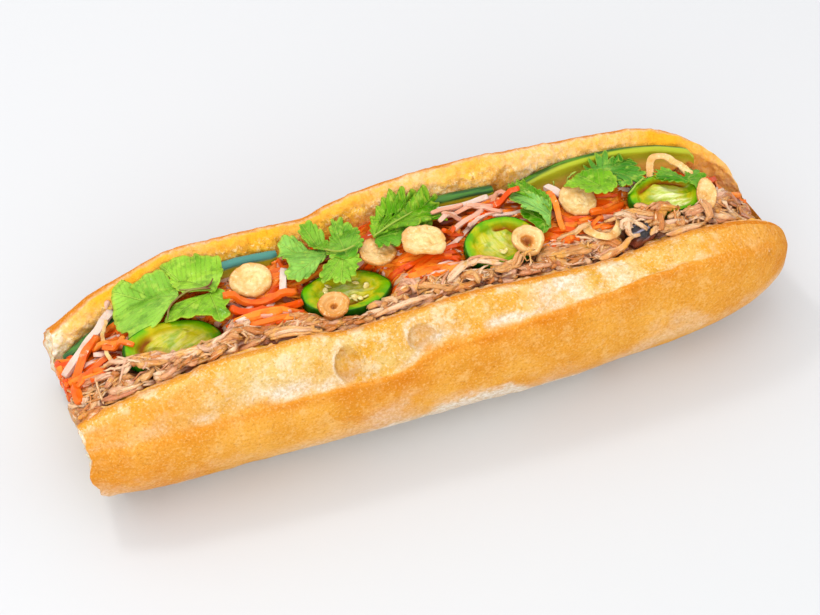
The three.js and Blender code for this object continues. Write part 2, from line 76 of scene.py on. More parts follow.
# Softboxes: name, place, what it aims at, size, watts and colour.
SOFTBOXES = [
    ("key", (-0.3, 0.15, 1.05), (0, 0, 0.02), (1.3, 1.3), 4.3, (1, 0.99, 0.975)),
    ("glint", (-0.28, 0.4, 0.95), (0, 0, 0.04), (0.16, 0.16), 1.6, (1, 1, 1)),
    ("front_fill", (-0.35, -1.1, 0.75), (0, 0, 0.03), (1.2, 0.7), 8, (1, 0.99, 0.98)),
]


def add_studio():
    """A pale sky and the softboxes, shown as they are."""
    world = bpy.data.worlds.new("studio")
    world.use_nodes = True
    sky = world.node_tree.nodes["Background"]
    sky.inputs["Color"].default_value = SKY_COLOUR
    sky.inputs["Strength"].default_value = 1.0
    bpy.context.scene.world = world
    for name, place, aim, size, watts, colour in SOFTBOXES:
        data = bpy.data.lights.new(name, "AREA")
        data.shape = "RECTANGLE"
        data.size, data.size_y = size
        data.energy = watts
        data.color = colour
        light = bpy.data.objects.new(name, data)
        light.location = place
        light.rotation_euler = (Vector(aim) - Vector(place)).to_track_quat("-Z", "Y").to_euler()
        bpy.context.scene.collection.objects.link(light)
    view = bpy.context.scene.view_settings
    view.view_transform = "Standard"
    view.look = "None"


# ---------------------------------------------------------------- numbers

def lerp(a, b, t):
    return a + (b - a) * t


def smooth(low, high, value):
    """0 below low, 1 above high, with an even ramp between them."""
    t = np.clip((value - low) / (high - low), 0, 1)
    return t * t * (3 - 2 * t)


def bump(value, centre, width):
    """A bell of height 1 round a centre."""
    return np.exp(-(((value - centre) / width) ** 2))


def hermite(t, gap, start, end, leaving, reaching):
    """A cubic from start to end over a gap, by its slopes at both; t runs from 0 to 1."""
    return ((1 + 2 * t) * (1 - t) ** 2 * start + t * (1 - t) ** 2 * gap * leaving
            + t * t * (3 - 2 * t) * end + t * t * (t - 1) * gap * reaching)


def curve(*keys):
    """A smooth monotone curve through (x, value) keys."""
    xs, values = np.array(keys, float).T
    gaps = np.diff(xs)
    slopes = np.diff(values) / gaps
    before, after = slopes[:-1], slopes[1:]
    turning = before * after <= 0
    inner = np.where(turning, 0, 2 * before * after / np.where(turning, 1, before + after))
    tangents = np.concatenate([slopes[:1], inner, slopes[-1:]])

    def at(x):
        c = np.clip(x, xs[0], xs[-1])
        i = np.clip(np.searchsorted(xs, c) - 1, 0, len(gaps) - 1)
        t = (c - xs[i]) / gaps[i]
        return hermite(t, gaps[i], values[i], values[i + 1], tangents[i], tangents[i + 1])

    return at


def noise(points, size, seed=0):
    """Smooth random values from -1 to 1 over points, which change over about size millimetres."""
    places = np.asarray(points, float) / size + 17.3 * seed
    cell = np.floor(places).astype(np.int64)
    part = places - cell
    part = part * part * (3 - 2 * part)
    total = np.zeros(places.shape[:-1])
    for corner in itertools.product((0, 1), repeat=places.shape[-1]):
        mixed = np.zeros(total.shape, np.int64)
        weight = np.ones(total.shape)
        for axis, step in enumerate(corner):
            mixed += (cell[..., axis] + step) * (374761393, 668265263, 1440662683)[axis]
            weight = weight * (part[..., axis] if step else 1 - part[..., axis])
        mixed = (mixed ^ (mixed >> 13)) * 1274126177 & 0x7FFFFFFF
        mixed = (mixed ^ (mixed >> 16)) * 668265263 & 0x7FFFFFFF
        total += weight * (mixed / 0x3FFFFFFF - 1)
    return total


def layered(points, size, seed=0, layers=3):
    """Noise with finer noise on it."""
    return sum(noise(points, size / 2**k, seed + k) / 2**k for k in range(layers)) / 1.6


def turned(pitch=0, roll=0, yaw=0):
    """Rotation by angles in degrees: about X, then Y, then Z."""
    angles = [math.radians(a) for a in (pitch, roll, yaw)]
    x, y, z = (np.array(Matrix.Rotation(a, 3, axis)) for a, axis in zip(angles, "XYZ"))
    return z @ y @ x


# ---------------------------------------------------------------- meshes

def grid_faces(rows, columns, closed=False):
    """Quads over a grid of points held row by row; closed joins the last column to the first."""
    i, j = np.meshgrid(np.arange(rows - 1), np.arange(columns if closed else columns - 1),
                       indexing="ij")
    a = (i * columns + j).ravel()
    b = (i * columns + (j + 1) % columns).ravel()
    return np.stack([a, b, b + columns, a + columns], 1)


def tube_faces(rows, columns):
    """Quads round a tube of points held row by row, and a face over each end."""
    ring = np.arange(columns)
    last = ring[None, :] + (rows - 1) * columns
    return grid_faces(rows, columns, closed=True), ring[None, ::-1], last


class Shape:
    """Points, faces and per-point values of one piece, gathered part by part."""

    def __init__(self):
        self.points, self.faces, self.values = [], [], {}

    def add(self, points, *faces, **values):
        points = np.asarray(points, float).reshape(-1, 3)
        self.points.append(points)
        self.faces.append(faces)
        for name, value in values.items():
            value = np.asarray(value, float)
            width = () if value.ndim < 2 else (3,)
            self.values.setdefault(name, []).append(
                np.broadcast_to(value, (len(points), *width)))

    def keep(self, wanted):
        """Leaves only the wanted parts."""
        pick = np.flatnonzero(wanted)
        self.points = [self.points[i] for i in pick]
        self.faces = [self.faces[i] for i in pick]
        self.values = {name: [parts[i] for i in pick] for name, parts in self.values.items()}

    def piece(self, name, look, slot, *nodes):
        """Makes the Blender object, which rides on the sandwich and stands for CAD nodes."""
        mesh = bpy.data.meshes.new(name)
        points = np.concatenate(self.points) * MM
        mesh.vertices.add(len(points))
        mesh.vertices.foreach_set("co", points.astype(np.float32).ravel())
        firsts = np.cumsum([0] + [len(part) for part in self.points])
        faces = [face + first for first, part in zip(firsts, self.faces) for face in part]
        corners = np.concatenate([face.ravel() for face in faces]).astype(np.int32)
        sizes = np.concatenate([np.full(len(f), f.shape[1]) for f in faces]).astype(np.int32)
        mesh.loops.add(len(corners))
        mesh.loops.foreach_set("vertex_index", corners)
        mesh.polygons.add(len(sizes))
        starts = (np.cumsum(sizes) - sizes).astype(np.int32)
        mesh.polygons.foreach_set("loop_start", starts)
        mesh.polygons.foreach_set("use_smooth", np.ones(len(sizes), bool))
        mesh.update(calc_edges=True)
        for key, parts in self.values.items():
            value = np.concatenate(parts).astype(np.float32)
            kind, field = ("FLOAT", "value") if value.ndim == 1 else ("FLOAT_VECTOR", "vector")
            mesh.attributes.new(key, kind, "POINT").data.foreach_set(field, value.ravel())
        if "corner" in self.values:
            ends = np.empty(len(mesh.edges) * 2, np.int32)
            mesh.edges.foreach_get("vertices", ends)
            cornered = np.concatenate(self.values["corner"]) > 0.5
            sharp = cornered[ends].reshape(-1, 2).all(1)
            mesh.attributes.new("sharp_edge", "BOOLEAN", "EDGE").data.foreach_set("value", sharp)
        mesh.materials.append(look)
        thing = bpy.data.objects.new(name, mesh)
        bpy.context.scene.collection.objects.link(thing)
        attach(thing, "root")
        if nodes:
            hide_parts(*nodes)
        return thing


def normals_of(grid, closed=False):
    """Unit normals of a grid of points, rows by columns."""
    across = np.gradient(grid, axis=1)
    if closed:
        across = np.roll(grid, -1, 1) - np.roll(grid, 1, 1)
    along = np.gradient(grid, axis=0)
    normal = np.cross(across, along)
    return normal / np.maximum(np.linalg.norm(normal, axis=2, keepdims=True), 1e-9)


def eased(line, passes=2):
    """Values along a line, averaged with their neighbours."""
    for _ in range(passes):
        padded = np.concatenate([line[:1], line, line[-1:]])
        line = (padded[:-2] + 2 * padded[1:-1] + padded[2:]) / 4
    return line


def axes_along(path):
    """Unit vectors across a path, level and upright."""
    along = np.gradient(path, axis=0)
    along /= np.linalg.norm(along, axis=1, keepdims=True)
    side = np.cross([0, 0, 1], along)
    side /= np.maximum(np.linalg.norm(side, axis=1, keepdims=True), 1e-6)
    return side, np.cross(along, side)


def add_strip(shape, path, width, thick, seed, sides=8, twist=0.0, lean=0.0, ridges=0.12,
              square=0.0, blunt=0.5, **values):
    """A strip along a path of points: flat, twisted, ridged along its length, narrower at the ends.

    square is 0 for an oval section and 1 for a box; blunt is the width left at the ends.
    """
    path = np.asarray(path, float)
    count = len(path)
    side, up = axes_along(path)
    t = np.linspace(0, 1, count)
    angle = (lean + twist * (t - 0.5))[:, None]
    cos, sin = np.cos(angle), np.sin(angle)
    side, up = side * cos + up * sin, up * cos - side * sin
    round_ = np.linspace(0, 2 * np.pi, sides, endpoint=False)
    cos, sin = np.cos(round_), np.sin(round_)
    corner = np.maximum(np.abs(cos), np.abs(sin))
    reach = lerp(1, 1 / corner, square)
    travelled = np.cumsum(np.r_[0, np.linalg.norm(np.diff(path, axis=0), axis=1)])
    mesh_t, mesh_a = np.meshgrid(travelled, np.arange(sides), indexing="ij")
    seeds = np.full(mesh_t.shape, seed * 3.7)
    rough = noise(np.stack([mesh_t * 0.12, mesh_a * 0.9, seeds], -1), 1)
    rough += 0.6 * noise(np.stack([mesh_t * 0.5, mesh_a * 0.9, seeds + 40], -1), 1)
    reach = reach[None, :] * (1 + ridges * rough)
    ends = np.clip(np.minimum(t, 1 - t) * (count - 1) / 1.6, 0, 1)
    taper = lerp(blunt, 1, np.sqrt(ends))[:, None]
    points = (path[:, None, :] + side[:, None, :] * (reach * cos * taper * width / 2)[..., None]
              + up[:, None, :] * (reach * sin * lerp(0.6, 1, taper) * thick / 2)[..., None])
    grain = np.stack([mesh_t, mesh_a * (width / sides) * 2, seeds], -1).reshape(-1, 3)
    at_corner = (square > 0) & (np.arange(sides) % 2 == 1)
    shape.add(points, *tube_faces(count, sides), grain=grain, corner=np.tile(at_corner, count),
              **values)


# ---------------------------------------------------------------- materials

def rgb(code):
    """A linear colour from its sRGB hex code."""
    parts = [int(code[i:i + 2], 16) / 255 for i in (0, 2, 4)]
    linear = [p / 12.92 if p <= 0.04045 else ((p + 0.055) / 1.055) ** 2.4 for p in parts]
    return (*linear, 1.0)


class Look:
    """A Principled material fed by procedural nodes. Sizes are in millimetres."""

    def __init__(self, name, soft=(0, 1), **constants):
        """soft is how much light goes under the surface, how far, and how far in each colour."""
        self.material = bpy.data.materials.new(name)
        self.material.use_nodes = True
        self.tree = self.material.node_tree
        self.shader = self.tree.nodes["Principled BSDF"]
        self.place = self.add("ShaderNodeTexCoord").outputs["Object"]
        weight, scale, *radius = soft
        constants.update(Subsurface_Weight=weight, Subsurface_Scale=scale * MM)
        if radius:
            constants["Subsurface_Radius"] = radius[0]
        for socket, value in constants.items():
            self.shader.inputs[socket.replace("_", " ")].default_value = value

    def add(self, kind, **settings):
        node = self.tree.nodes.new(kind)
        for key, value in settings.items():
            setattr(node, key, value)
        return node

    def feed(self, socket, value):
        if isinstance(value, bpy.types.NodeSocket):
            self.tree.links.new(value, socket)
        else:
            socket.default_value = value

    def value(self, name):
        """A per-point value of the piece."""
        return self.add("ShaderNodeAttribute", attribute_name=name).outputs["Fac"]

    def vector(self, name):
        return self.add("ShaderNodeAttribute", attribute_name=name).outputs["Vector"]

    def stretched(self, vector, scale):
        node = self.add("ShaderNodeMapping")
        self.feed(node.inputs["Vector"], vector)
        node.inputs["Scale"].default_value = scale
        return node.outputs["Vector"]

    def noise(self, size, detail=2.0, vector=None, rough=0.5):
        """Noise of a size in millimetres, or in a given vector's own units."""
        node = self.add("ShaderNodeTexNoise")
        self.feed(node.inputs["Vector"], vector or self.place)
        node.inputs["Scale"].default_value = 1 / size if vector else 1 / (size * MM)
        node.inputs["Detail"].default_value = detail
        node.inputs["Roughness"].default_value = rough
        return node.outputs["Fac"]

    def cells(self, size):
        """Distance within round cells of a size in millimetres."""
        node = self.add("ShaderNodeTexVoronoi")
        self.feed(node.inputs["Vector"], self.place)
        node.inputs["Scale"].default_value = 1 / (size * MM)
        return node.outputs["Distance"]

    def step(self, value, low, high, to_low=0.0, to_high=1.0):
        node = self.add("ShaderNodeMapRange", interpolation_type="SMOOTHSTEP")
        self.feed(node.inputs["Value"], value)
        for socket, number in zip(("From Min", "From Max", "To Min", "To Max"),
                                  (low, high, to_low, to_high)):
            node.inputs[socket].default_value = number
        return node.outputs["Result"]

    def maths(self, operation, a, b=0.0):
        node = self.add("ShaderNodeMath", operation=operation)
        self.feed(node.inputs[0], a)
        self.feed(node.inputs[1], b)
        return node.outputs["Value"]

    def mix(self, low, high, amount):
        """A colour between two colours or hex codes, by an amount."""
        node = self.add("ShaderNodeMix", data_type="RGBA")
        self.feed(node.inputs["Factor"], amount)
        for socket, colour in ((node.inputs[6], low), (node.inputs[7], high)):
            self.feed(socket, rgb(colour) if isinstance(colour, str) else colour)
        return node.outputs[2]

    def layers(self, colour, *layers):
        """A colour under others: each a colour and its amount, or a colour, a value, the range over
        which it comes in, and the most that shows.
        """
        for over, amount, *span in layers:
            if span:
                amount = self.step(amount, *span[:2], 0, *(span[2:] or [1]))
            colour = self.mix(colour, over, amount)
        return colour

    def relief(self, *heights):
        """Bump from (height, depth in millimetres) pairs."""
        normal = None
        for height, depth in heights:
            node = self.add("ShaderNodeBump")
            node.inputs["Distance"].default_value = depth * MM
            self.feed(node.inputs["Height"], height)
            if normal:
                self.feed(node.inputs["Normal"], normal)
            normal = node.outputs["Normal"]
        self.feed(self.shader.inputs["Normal"], normal)

    def finish(self, colour, value, smoothest, roughest, span=(0.3, 0.7)):
        """The finished material, whose roughness follows a value over a span."""
        self.feed(self.shader.inputs["Base Color"], colour)
        roughness = self.step(value, *span, smoothest, roughest)
        self.feed(self.shader.inputs["Roughness"], roughness)
        return self.material


def bread_look():
    look = Look("bread", (0.08, 1, (1, 0.5, 0.2)), Specular_IOR_Level=0.02)
    grain = look.noise(0.8, 3, rough=0.65)
    fleck = look.noise(1.6, 4, rough=0.75)
    golden = look.layers(
        "eaa844", ("df9630", look.noise(20, 3, rough=0.6), 0.36, 0.64),
        ("efba6c", look.noise(5, 4, rough=0.7), 0.48, 0.66, 0.7))
    patchy = look.step(look.noise(9, 3), 0.3, 0.7, 0.55, 1)
    brown = look.maths("MULTIPLY", look.value("brown"), patchy)
    crust = look.layers(
        golden, ("d67e1a", brown), ("f6ca84", grain, 0.52, 0.68, 0.4),
        ("c27222", grain, 0.47, 0.32, 0.4), ("b0641c", fleck, 0.38, 0.26, 0.5))
    cream = look.layers(
        "e4be6e", ("dda236", look.noise(13, 4, rough=0.6), 0.44, 0.58),
        ("e2a23c", look.maths("MULTIPLY", look.value("brown"), 0.9)),
        ("ead4a8", look.noise(8, 4, rough=0.7), 0.5, 0.62, 0.8),
        ("f6e8c8", grain, 0.53, 0.68, 0.5), ("b8863e", grain, 0.46, 0.32, 0.45),
        ("b07a34", fleck, 0.38, 0.26, 0.45))
    colour = look.mix(crust, cream, look.value("bloom"))
    # The flour colour also carries the painted highlights on the bubbles' left rims.
    flour = look.layers("dcc4a4", ("f2e8da", fleck, 0.42, 0.58))
    # The browner layer holds the bubbles' browning and the painted shadow under their lips.
    colour = look.layers(colour, (flour, look.value("flour")), ("c4842e", look.value("scorch")))
    crumb = look.layers(
        "f0dcae", ("faf1dd", look.noise(1.6, 3), 0.4, 0.6),
        ("dcb468", look.noise(2.6, 4, rough=0.7), 0.5, 0.68, 0.8))
    # The amber layer: the real band under the back rim, and painted light on the shaded lower wall
    # and the tip's inner wall.
    toasted = look.layers(
        "f2ba3a", ("da9626", look.noise(5, 4, rough=0.7), 0.44, 0.6),
        ("fbe0a0", fleck, 0.52, 0.62, 0.85),
        ("a8681c", look.noise(1.9, 4, rough=0.75), 0.46, 0.34, 0.9),
        ("fbb02a", look.value("amber")))
    crumb = look.mix(crumb, toasted, look.value("toast"))
    colour = look.mix(colour, crumb, look.value("crumb"))
    look.relief((look.noise(2.4, 3), 0.5), (look.cells(1.4), 0.2), (grain, 0.25), (fleck, 0.4))
    return look.finish(colour, look.noise(5, 2), 0.55, 0.72)


def meat_look():
    look = Look("pulled_meat", (0.1, 0.8, (1, 0.4, 0.2)), Coat_Weight=0.55, Coat_Roughness=0.14,
                Specular_IOR_Level=0.25)
    grain, tone = look.vector("grain"), look.value("tone")
    fibres = look.noise(0.55, 3, look.stretched(grain, (0.2, 1, 1)), rough=0.65)
    colour = look.layers("efc59c", ("e0a25c", tone, 0.05, 0.5), ("cc7a30", tone, 0.6, 0.95))
    blotch = look.noise(4, 3, look.stretched(grain, (0.5, 1.2, 1)))
    colour = look.layers(
        colour, ("cc8068", look.value("sauce"), 0.6, 0.9, 0.5),
        ("c06e28", blotch, 0.52, 0.68, 0.7), ("eaa63c", look.noise(5, 3), 0.53, 0.68, 0.75),
        ("8a4a1c", fibres, 0.44, 0.28, 0.6), ("fbe2b6", fibres, 0.56, 0.72, 0.7),
        # Painted shade: deep darkens what lies buried between strips, and a tone past 1.3 darkens the
        # core under them.
        ("6a2a12", look.value("deep"), 0.1, 1, 0.85), ("4a200e", tone, 1.3, 1.8))
    look.relief((fibres, 0.8), (look.noise(0.9, 3), 0.4))
    return look.finish(colour, fibres, 0.28, 0.5)


def pickle_look(name, light, deep, core, weight):
    """Wet julienne strips: a clear colour with faint lengthwise fibres, painted shade down between
    them.
    """
    look = Look(name, (weight, 0.7, (1, 0.4, 0.2)), Coat_Weight=0.4, Coat_Roughness=0.1,
                Specular_IOR_Level=0.04)
    grain, tone = look.vector("grain"), look.value("tone")
    fibres = look.noise(0.7, 2, look.stretched(grain, (0.1, 1, 1)))
    colour = look.layers(
        light, (deep, tone, 0.15, 0.95), (light, fibres, 0.52, 0.74, 0.5),
        # Painted shade in the core colour: on what lies buried between strips, and on the core, whose
        # tone is past 1.3.
        (deep, look.noise(5, 2), 0.5, 0.68, 0.7), (core, look.value("deep"), 0, 1, 0.85),
        (core, tone, 1.3, 1.8))
    look.relief((fibres, 0.25), (look.noise(1.4, 2), 0.15))
    return look.finish(colour, look.noise(3, 2), 0.22, 0.4)


def chilli_look():
    look = Look("jalapeno", (0.08, 1, (0.6, 1, 0.1)), Coat_Weight=0.16, Coat_Roughness=0.08,
                Specular_IOR_Level=0.04)
    streaks = look.noise(1.6, 3, look.stretched(look.vector("ray"), (0.2, 1, 1)), rough=0.6)
    flesh = look.layers(
        "62a600", ("c0b414", look.value("inner")), ("4f9004", look.noise(4, 3), 0.45, 0.66, 0.7),
        ("ceb014", look.noise(6, 2), 0.5, 0.68, 0.65))
    pale = look.layers(
        "bcc84a", ("ecedb4", streaks, 0.35, 0.68), ("b9a02c", look.noise(2.4, 3), 0.56, 0.7, 0.7))
    colour = look.layers(
        flesh, (pale, look.value("membrane")), ("84a010", streaks, 0.5, 0.3, 0.4),
        # Painted shadow: brown-orange in the gap where the ribs have come away.
        ("a4480c", look.value("gap")))
    skin = look.layers("164a04", ("367c08", look.noise(7, 3), 0.45, 0.68))
    colour = look.mix(colour, skin, look.value("skin"))
    look.relief((look.noise(0.9, 3), 0.12), (look.noise(4, 2), 0.3), (streaks, 0.2))
    return look.finish(colour, look.value("skin"), 0.26, 0.14, span=(0, 1))


def cucumber_look():
    look = Look("cucumber", (0.08, 1.5, (0.6, 1, 0.2)), Coat_Weight=0.4, Coat_Roughness=0.08,
                Specular_IOR_Level=0.04)
    # The lower flesh is paler yellow: partly its own colour, partly painted light on its shaded part.
    flesh = look.layers(
        "aab424", ("fcd868", look.value("inner")), ("b4b02c", look.noise(5, 3), 0.45, 0.7, 0.4))
    streak = look.noise(1.2, 3, look.stretched(look.place, (120, 900, 900)))
    # Painted reflection: the blue-green is sky reflected on the skin.
    skin = look.layers("244a06", ("4a7c14", streak, 0.4, 0.66), ("4f8f86", look.value("blue")))
    colour = look.mix(flesh, skin, look.value("skin"))
    look.relief((look.noise(1.1, 3), 0.12), (streak, 0.1))
    return look.finish(colour, look.value("skin"), 0.24, 0.26, span=(0, 1))


def leaf_look():
    look = Look("cilantro", (0.05, 0.5, (0.5, 1, 0.1)), Specular_IOR_Level=0.03, Coat_Weight=0.15,
                Coat_Roughness=0.14)
    split = look.add("ShaderNodeSeparateXYZ")
    look.feed(split.inputs[0], look.vector("lobe"))
    along, aside = split.outputs["X"], split.outputs["Y"]
    midrib = look.step(aside, 0.35, 0.1)
    branch = look.maths("SUBTRACT", along, look.maths("MULTIPLY", aside, 1.3))
    branch = look.maths("PINGPONG", branch, 1.1)
    vein = look.maths("MAXIMUM", midrib, look.step(branch, 0.3, 0.08, 0, 0.55))
    blue, pale = look.value("blue"), look.value("pale")
    light = look.mix("a0cc34", "86be60", blue)
    deep = look.mix("4f9000", "2a7a08", blue)
    colour = look.layers(
        deep, (light, pale), ("245a00", look.noise(5, 4, rough=0.65), 0.46, 0.68, 0.5),
        ("b8d050", look.noise(2.6, 3), 0.55, 0.72, 0.45),
        ("b4cc50", look.maths("MULTIPLY", vein, 0.3)), ("b4c43a", look.value("rim"), 0.93, 1, 0.5))
    look.relief((vein, -0.3), (look.noise(0.8, 3), 0.16), (look.noise(2.6, 2), 0.6))
    return look.finish(colour, look.noise(4, 2), 0.28, 0.46)


def stem_look():
    look = Look("stem", (0.05, 0.8))
    patchy = look.step(look.noise(7, 2), 0.36, 0.56, 0.6, 1)
    # Brown: partly dried stem, partly painted shadow in the gaps between lobes.
    dried = look.maths("MULTIPLY", look.value("dry"), patchy)
    colour = look.mix("94ac34", "6e3c10", dried)
    look.relief((look.noise(0.7, 2), 0.1),)
    return look.finish(colour, look.noise(3, 2), 0.3, 0.45)


def fried_look():
    look = Look("fried", (0.1, 0.8, (1, 0.6, 0.3)), Specular_IOR_Level=0.2)
    cream = look.layers("f0d294", ("dfb266", look.noise(3.0, 3), 0.42, 0.66))
    colour = look.layers(
        cream, ("d08634", look.value("brown")),
        ("c0823c", look.maths("MULTIPLY", look.value("ring"), 0.25)),
        ("bc7c36", look.noise(0.8, 3), 0.55, 0.72, 0.3),
        # dark is the toasted edge, and painted shade round the hole.
        ("fbecc6", look.noise(0.9, 3), 0.44, 0.3, 0.4), ("8a4814", look.value("dark")))
    look.relief((look.noise(0.8, 4, rough=0.7), 0.14), (look.noise(2.2, 3), 0.25))
    return look.finish(colour, look.noise(2, 2), 0.38, 0.6)


def char_look():
    look = Look("char", Coat_Weight=0.8, Coat_Roughness=0.12, Specular_IOR_Level=0.2)
    rough = look.noise(1.8, 4, rough=0.65)
    colour = look.layers(
        # The pale blue-white layer is a painted highlight.
        "120a10", ("40201c", rough, 0.52, 0.66), ("a8a4b8", look.value("glaze")),
        ("8a4430", look.value("scorch")))
    look.relief((rough, 0.9), (look.noise(0.6, 2), 0.3))
    return look.finish(colour, rough, 0.15, 0.45)


def seed_look():
    look = Look("chilli_seeds", (0.1, 0.8), Coat_Weight=0.3)
    colour = look.layers("e6d890", ("d0b860", look.noise(1.5, 2), 0.4, 0.65))
    look.relief((look.noise(0.5, 2), 0.08),)
    return look.finish(colour, look.noise(1, 2), 0.3, 0.45)


def floor_look():
    look = Look("floor")
    colour = look.layers("cdcdce", ("cccdce", look.noise(400, 2), 0.3, 0.7))
    return look.finish(colour, look.noise(300, 2), 0.6, 0.7)


# ---------------------------------------------------------------- the roll

CUT_END = -124
TAPER_START = 70
WALL = 6.5
FLOOR = 10.5
CHANNEL_GAP = 0.9
TIP_LEFT = 0.05
FRONT = dict(end=124, tip=(-17, 22), power=2.5, root=2.1)
UNDER = dict(end=120, tip=(-8, 12), power=2.1, root=1.8)
BACK = dict(end=118.5, tip=(4, 27), power=2.3, root=1.9)

front_rim_y = curve((-124, -23), (-105, -25), (-60, -26.5), (0, -27), (60, -26), (124, -25))
front_rim_z = curve((-124, 37), (-114, 42.5), (-100, 47), (-72, 52.5), (-50, 52.5), (-34, 50),
                    (0, 52), (30, 49.5), (55, 47), (70, 49), (124, 51))
back_rim_y = curve((-124, 20), (-105, 25), (-85, 27.5), (0, 28), (124, 28))
back_rim_z = curve((-124, 36), (-112, 41.5), (-96, 46), (-76, 51), (-45, 49.5), (-35, 49),
                   (-25, 52.5), (-5, 55.5), (22, 56), (50, 53.5), (66, 52), (80, 51), (124, 50.5))
front_bulge_y = curve((-124, -32), (-105, -36.5), (-50, -38.5), (30, -39.5), (70, -38), (124, -37))
back_bulge_y = curve((-124, 33), (-100, 37), (0, 39.5), (124, 38.5))
underside_y = curve((-124, -18), (-100, -22.5), (0, -25.5), (20, -27), (60, -24.5), (124, -24))
ear_z = curve((-124, 33), (-80, 36), (-27, 38), (-9, 41.5), (48, 44), (62, 46), (124, 44))

# Control points in loop order from the front rim: half, cut-end X, and place at X.
SECTION = [
    (FRONT, -124, lambda x: (front_rim_y(x), front_rim_z(x))),
    (FRONT, -124, lambda x: (lerp(front_rim_y(x), front_bulge_y(x), 0.5),
                             lerp(front_rim_z(x), ear_z(x), 0.45))),
    (FRONT, -124, lambda x: (lerp(front_rim_y(x), front_bulge_y(x), 0.74), ear_z(x) + 1.2)),
    (FRONT, -124, lambda x: (lerp(front_rim_y(x), front_bulge_y(x), 0.9), ear_z(x) - 1.2)),
    (FRONT, -123, lambda x: (front_bulge_y(x), 0.48 * front_rim_z(x))),
    (FRONT, -119, lambda x: (lerp(front_bulge_y(x), underside_y(x), 0.2), 0.25 * front_rim_z(x))),
    (UNDER, -115, lambda x: (underside_y(x), 0 * x)),
    (UNDER, -118, lambda x: (0 * x, 0 * x - 0.6)),
    (UNDER, -120, lambda x: (-0.93 * underside_y(x), 0 * x)),
    (BACK, -122, lambda x: (0.92 * back_bulge_y(x), 0.2 * back_rim_z(x))),
    (BACK, -123, lambda x: (back_bulge_y(x), 0.48 * back_rim_z(x))),
    (BACK, -123, lambda x: (lerp(back_rim_y(x), back_bulge_y(x), 0.66), 0.8 * back_rim_z(x))),
    (BACK, -123, lambda x: (back_rim_y(x), back_rim_z(x))),
    (BACK, -123, lambda x: (back_rim_y(x) - 0.85 * WALL, back_rim_z(x) - 0.42 * WALL)),
    (BACK, -122, lambda x: (0.68 * back_rim_y(x), 0.58 * back_rim_z(x))),
    (BACK, -120, lambda x: (0.42 * back_rim_y(x), 0.3 * back_rim_z(x))),
    (UNDER, -119, lambda x: (0 * x, 0 * x + FLOOR)),
    (FRONT, -121, lambda x: (0.42 * front_rim_y(x), 0.3 * front_rim_z(x))),
    (FRONT, -123, lambda x: (0.68 * front_rim_y(x), 0.58 * front_rim_z(x))),
    (FRONT, -124, lambda x: (front_rim_y(x) + 0.85 * WALL, front_rim_z(x) - 0.42 * WALL)),
]
# Places round the section's loop; at RIM_WRAP the channel's wall turns over into the front rim.
RIM, EAR, BELLY, HEEL, BACK_RIM, RIM_WRAP = 0, 2.5, 4, 6, 12, 19.2
POINTS_BETWEEN = [14, 10, 12, 20, 15, 14, 5, 5, 8, 9, 12, 10, 8, 24, 6, 4, 4, 4, 9, 8]
LOAF_STATIONS = 460
CUT_DEPTH = 14
HIGHEST = 58.9
# Bubbles in the pale split: X, height, radius, how much taller than wide, and how dark they are:
# browned inside, with a painted shadow along the lower lip.
BUBBLES = [(-39.6, 44.2, 4.2, 1.45, 0.75), (-40.8, 47.6, 1.7, 1, 1.3), (-14.8, 46.2, 4.6, 1, 0.6),
           (110, 37, 1.2, 1, 1)]
# Floury patches in the pale split: X, height, reach each way, and how white.
FLOURED = [(-60, 41, 13, 3.5, 0.8), (-12, 47, 8, 4, 0.35), (34, 47.5, 9, 4, 0.9),
           (54, 47, 6, 3, 0.4)]
# How far the score's lower lip lies above EAR, in places round the loop.
ear_lift = curve((-124, 0.4), (-62, 0.65), (-48, 0.3), (-38, 0), (-22, 0), (-8, 0.65), (124, 0.7))
# How high the torn, floury heel reaches along the loaf's foot.
torn_heel = curve((-124, 0), (-62, 6), (-44, 10), (-28, 15.5), (-10, 20), (8, 22), (15, 22),
                  (22, 16), (34, 12), (54, 8), (72, 0), (124, 0))
# How far the score has opened into a pale split.
split_at = curve((-124, 0.1), (-98, 0.25), (-80, 0.6), (-62, 1), (48, 1), (72, 0.75), (92, 0.3),
                 (112, 0.1))


def control_at(i, x):
    """Y and Z of control point i at x, with its half's taper towards the tip."""
    half, start, place = SECTION[i]
    x = np.asarray(x, float)
    along = CUT_END + (x - start) / (half["end"] - start) * (half["end"] - CUT_END)
    y, z = place(along)
    s = np.clip((x - TAPER_START) / (half["end"] - TAPER_START), 0, 1)
    keep = np.maximum(TIP_LEFT, (1 - s ** half["power"]) ** (1 / half["root"]))
    return lerp(half["tip"][0], y, keep), lerp(half["tip"][1], z, keep)


def loaf_grid(fractions, loop):
    """Points on the roll at fractions of its length and at places round its section's loop."""
    knots = np.empty((len(SECTION), len(fractions), 3))
    for i, (half, start, _) in enumerate(SECTION):
        x = lerp(start, half["end"], fractions)
        knots[i] = np.stack([x, *control_at(i, x)], -1)
    first = np.floor(loop).astype(int)
    t = (loop - first)[:, None, None]
    p0, p1, p2, p3 = (knots[(first + k) % len(SECTION)] for k in (-1, 0, 1, 2))
    d0, d1, d2 = (np.maximum(np.linalg.norm(b - a, axis=-1, keepdims=True), 1e-6) ** 0.5
                  for a, b in ((p0, p1), (p1, p2), (p2, p3)))
    m1 = ((p1 - p0) / d0 - (p2 - p0) / (d0 + d1) + (p2 - p1) / d1) * d1
    m2 = ((p2 - p1) / d1 - (p3 - p1) / (d1 + d2) + (p3 - p2) / d2) * d1
    c2, c3 = -3 * p1 + 3 * p2 - 2 * m1 - m2, 2 * p1 - 2 * p2 + m1 + m2
    grid = p1 + m1 * t + c2 * t**2 + c3 * t**3
    grid[..., 2] = np.maximum(grid[..., 2], 0)
    return grid.transpose(1, 0, 2)


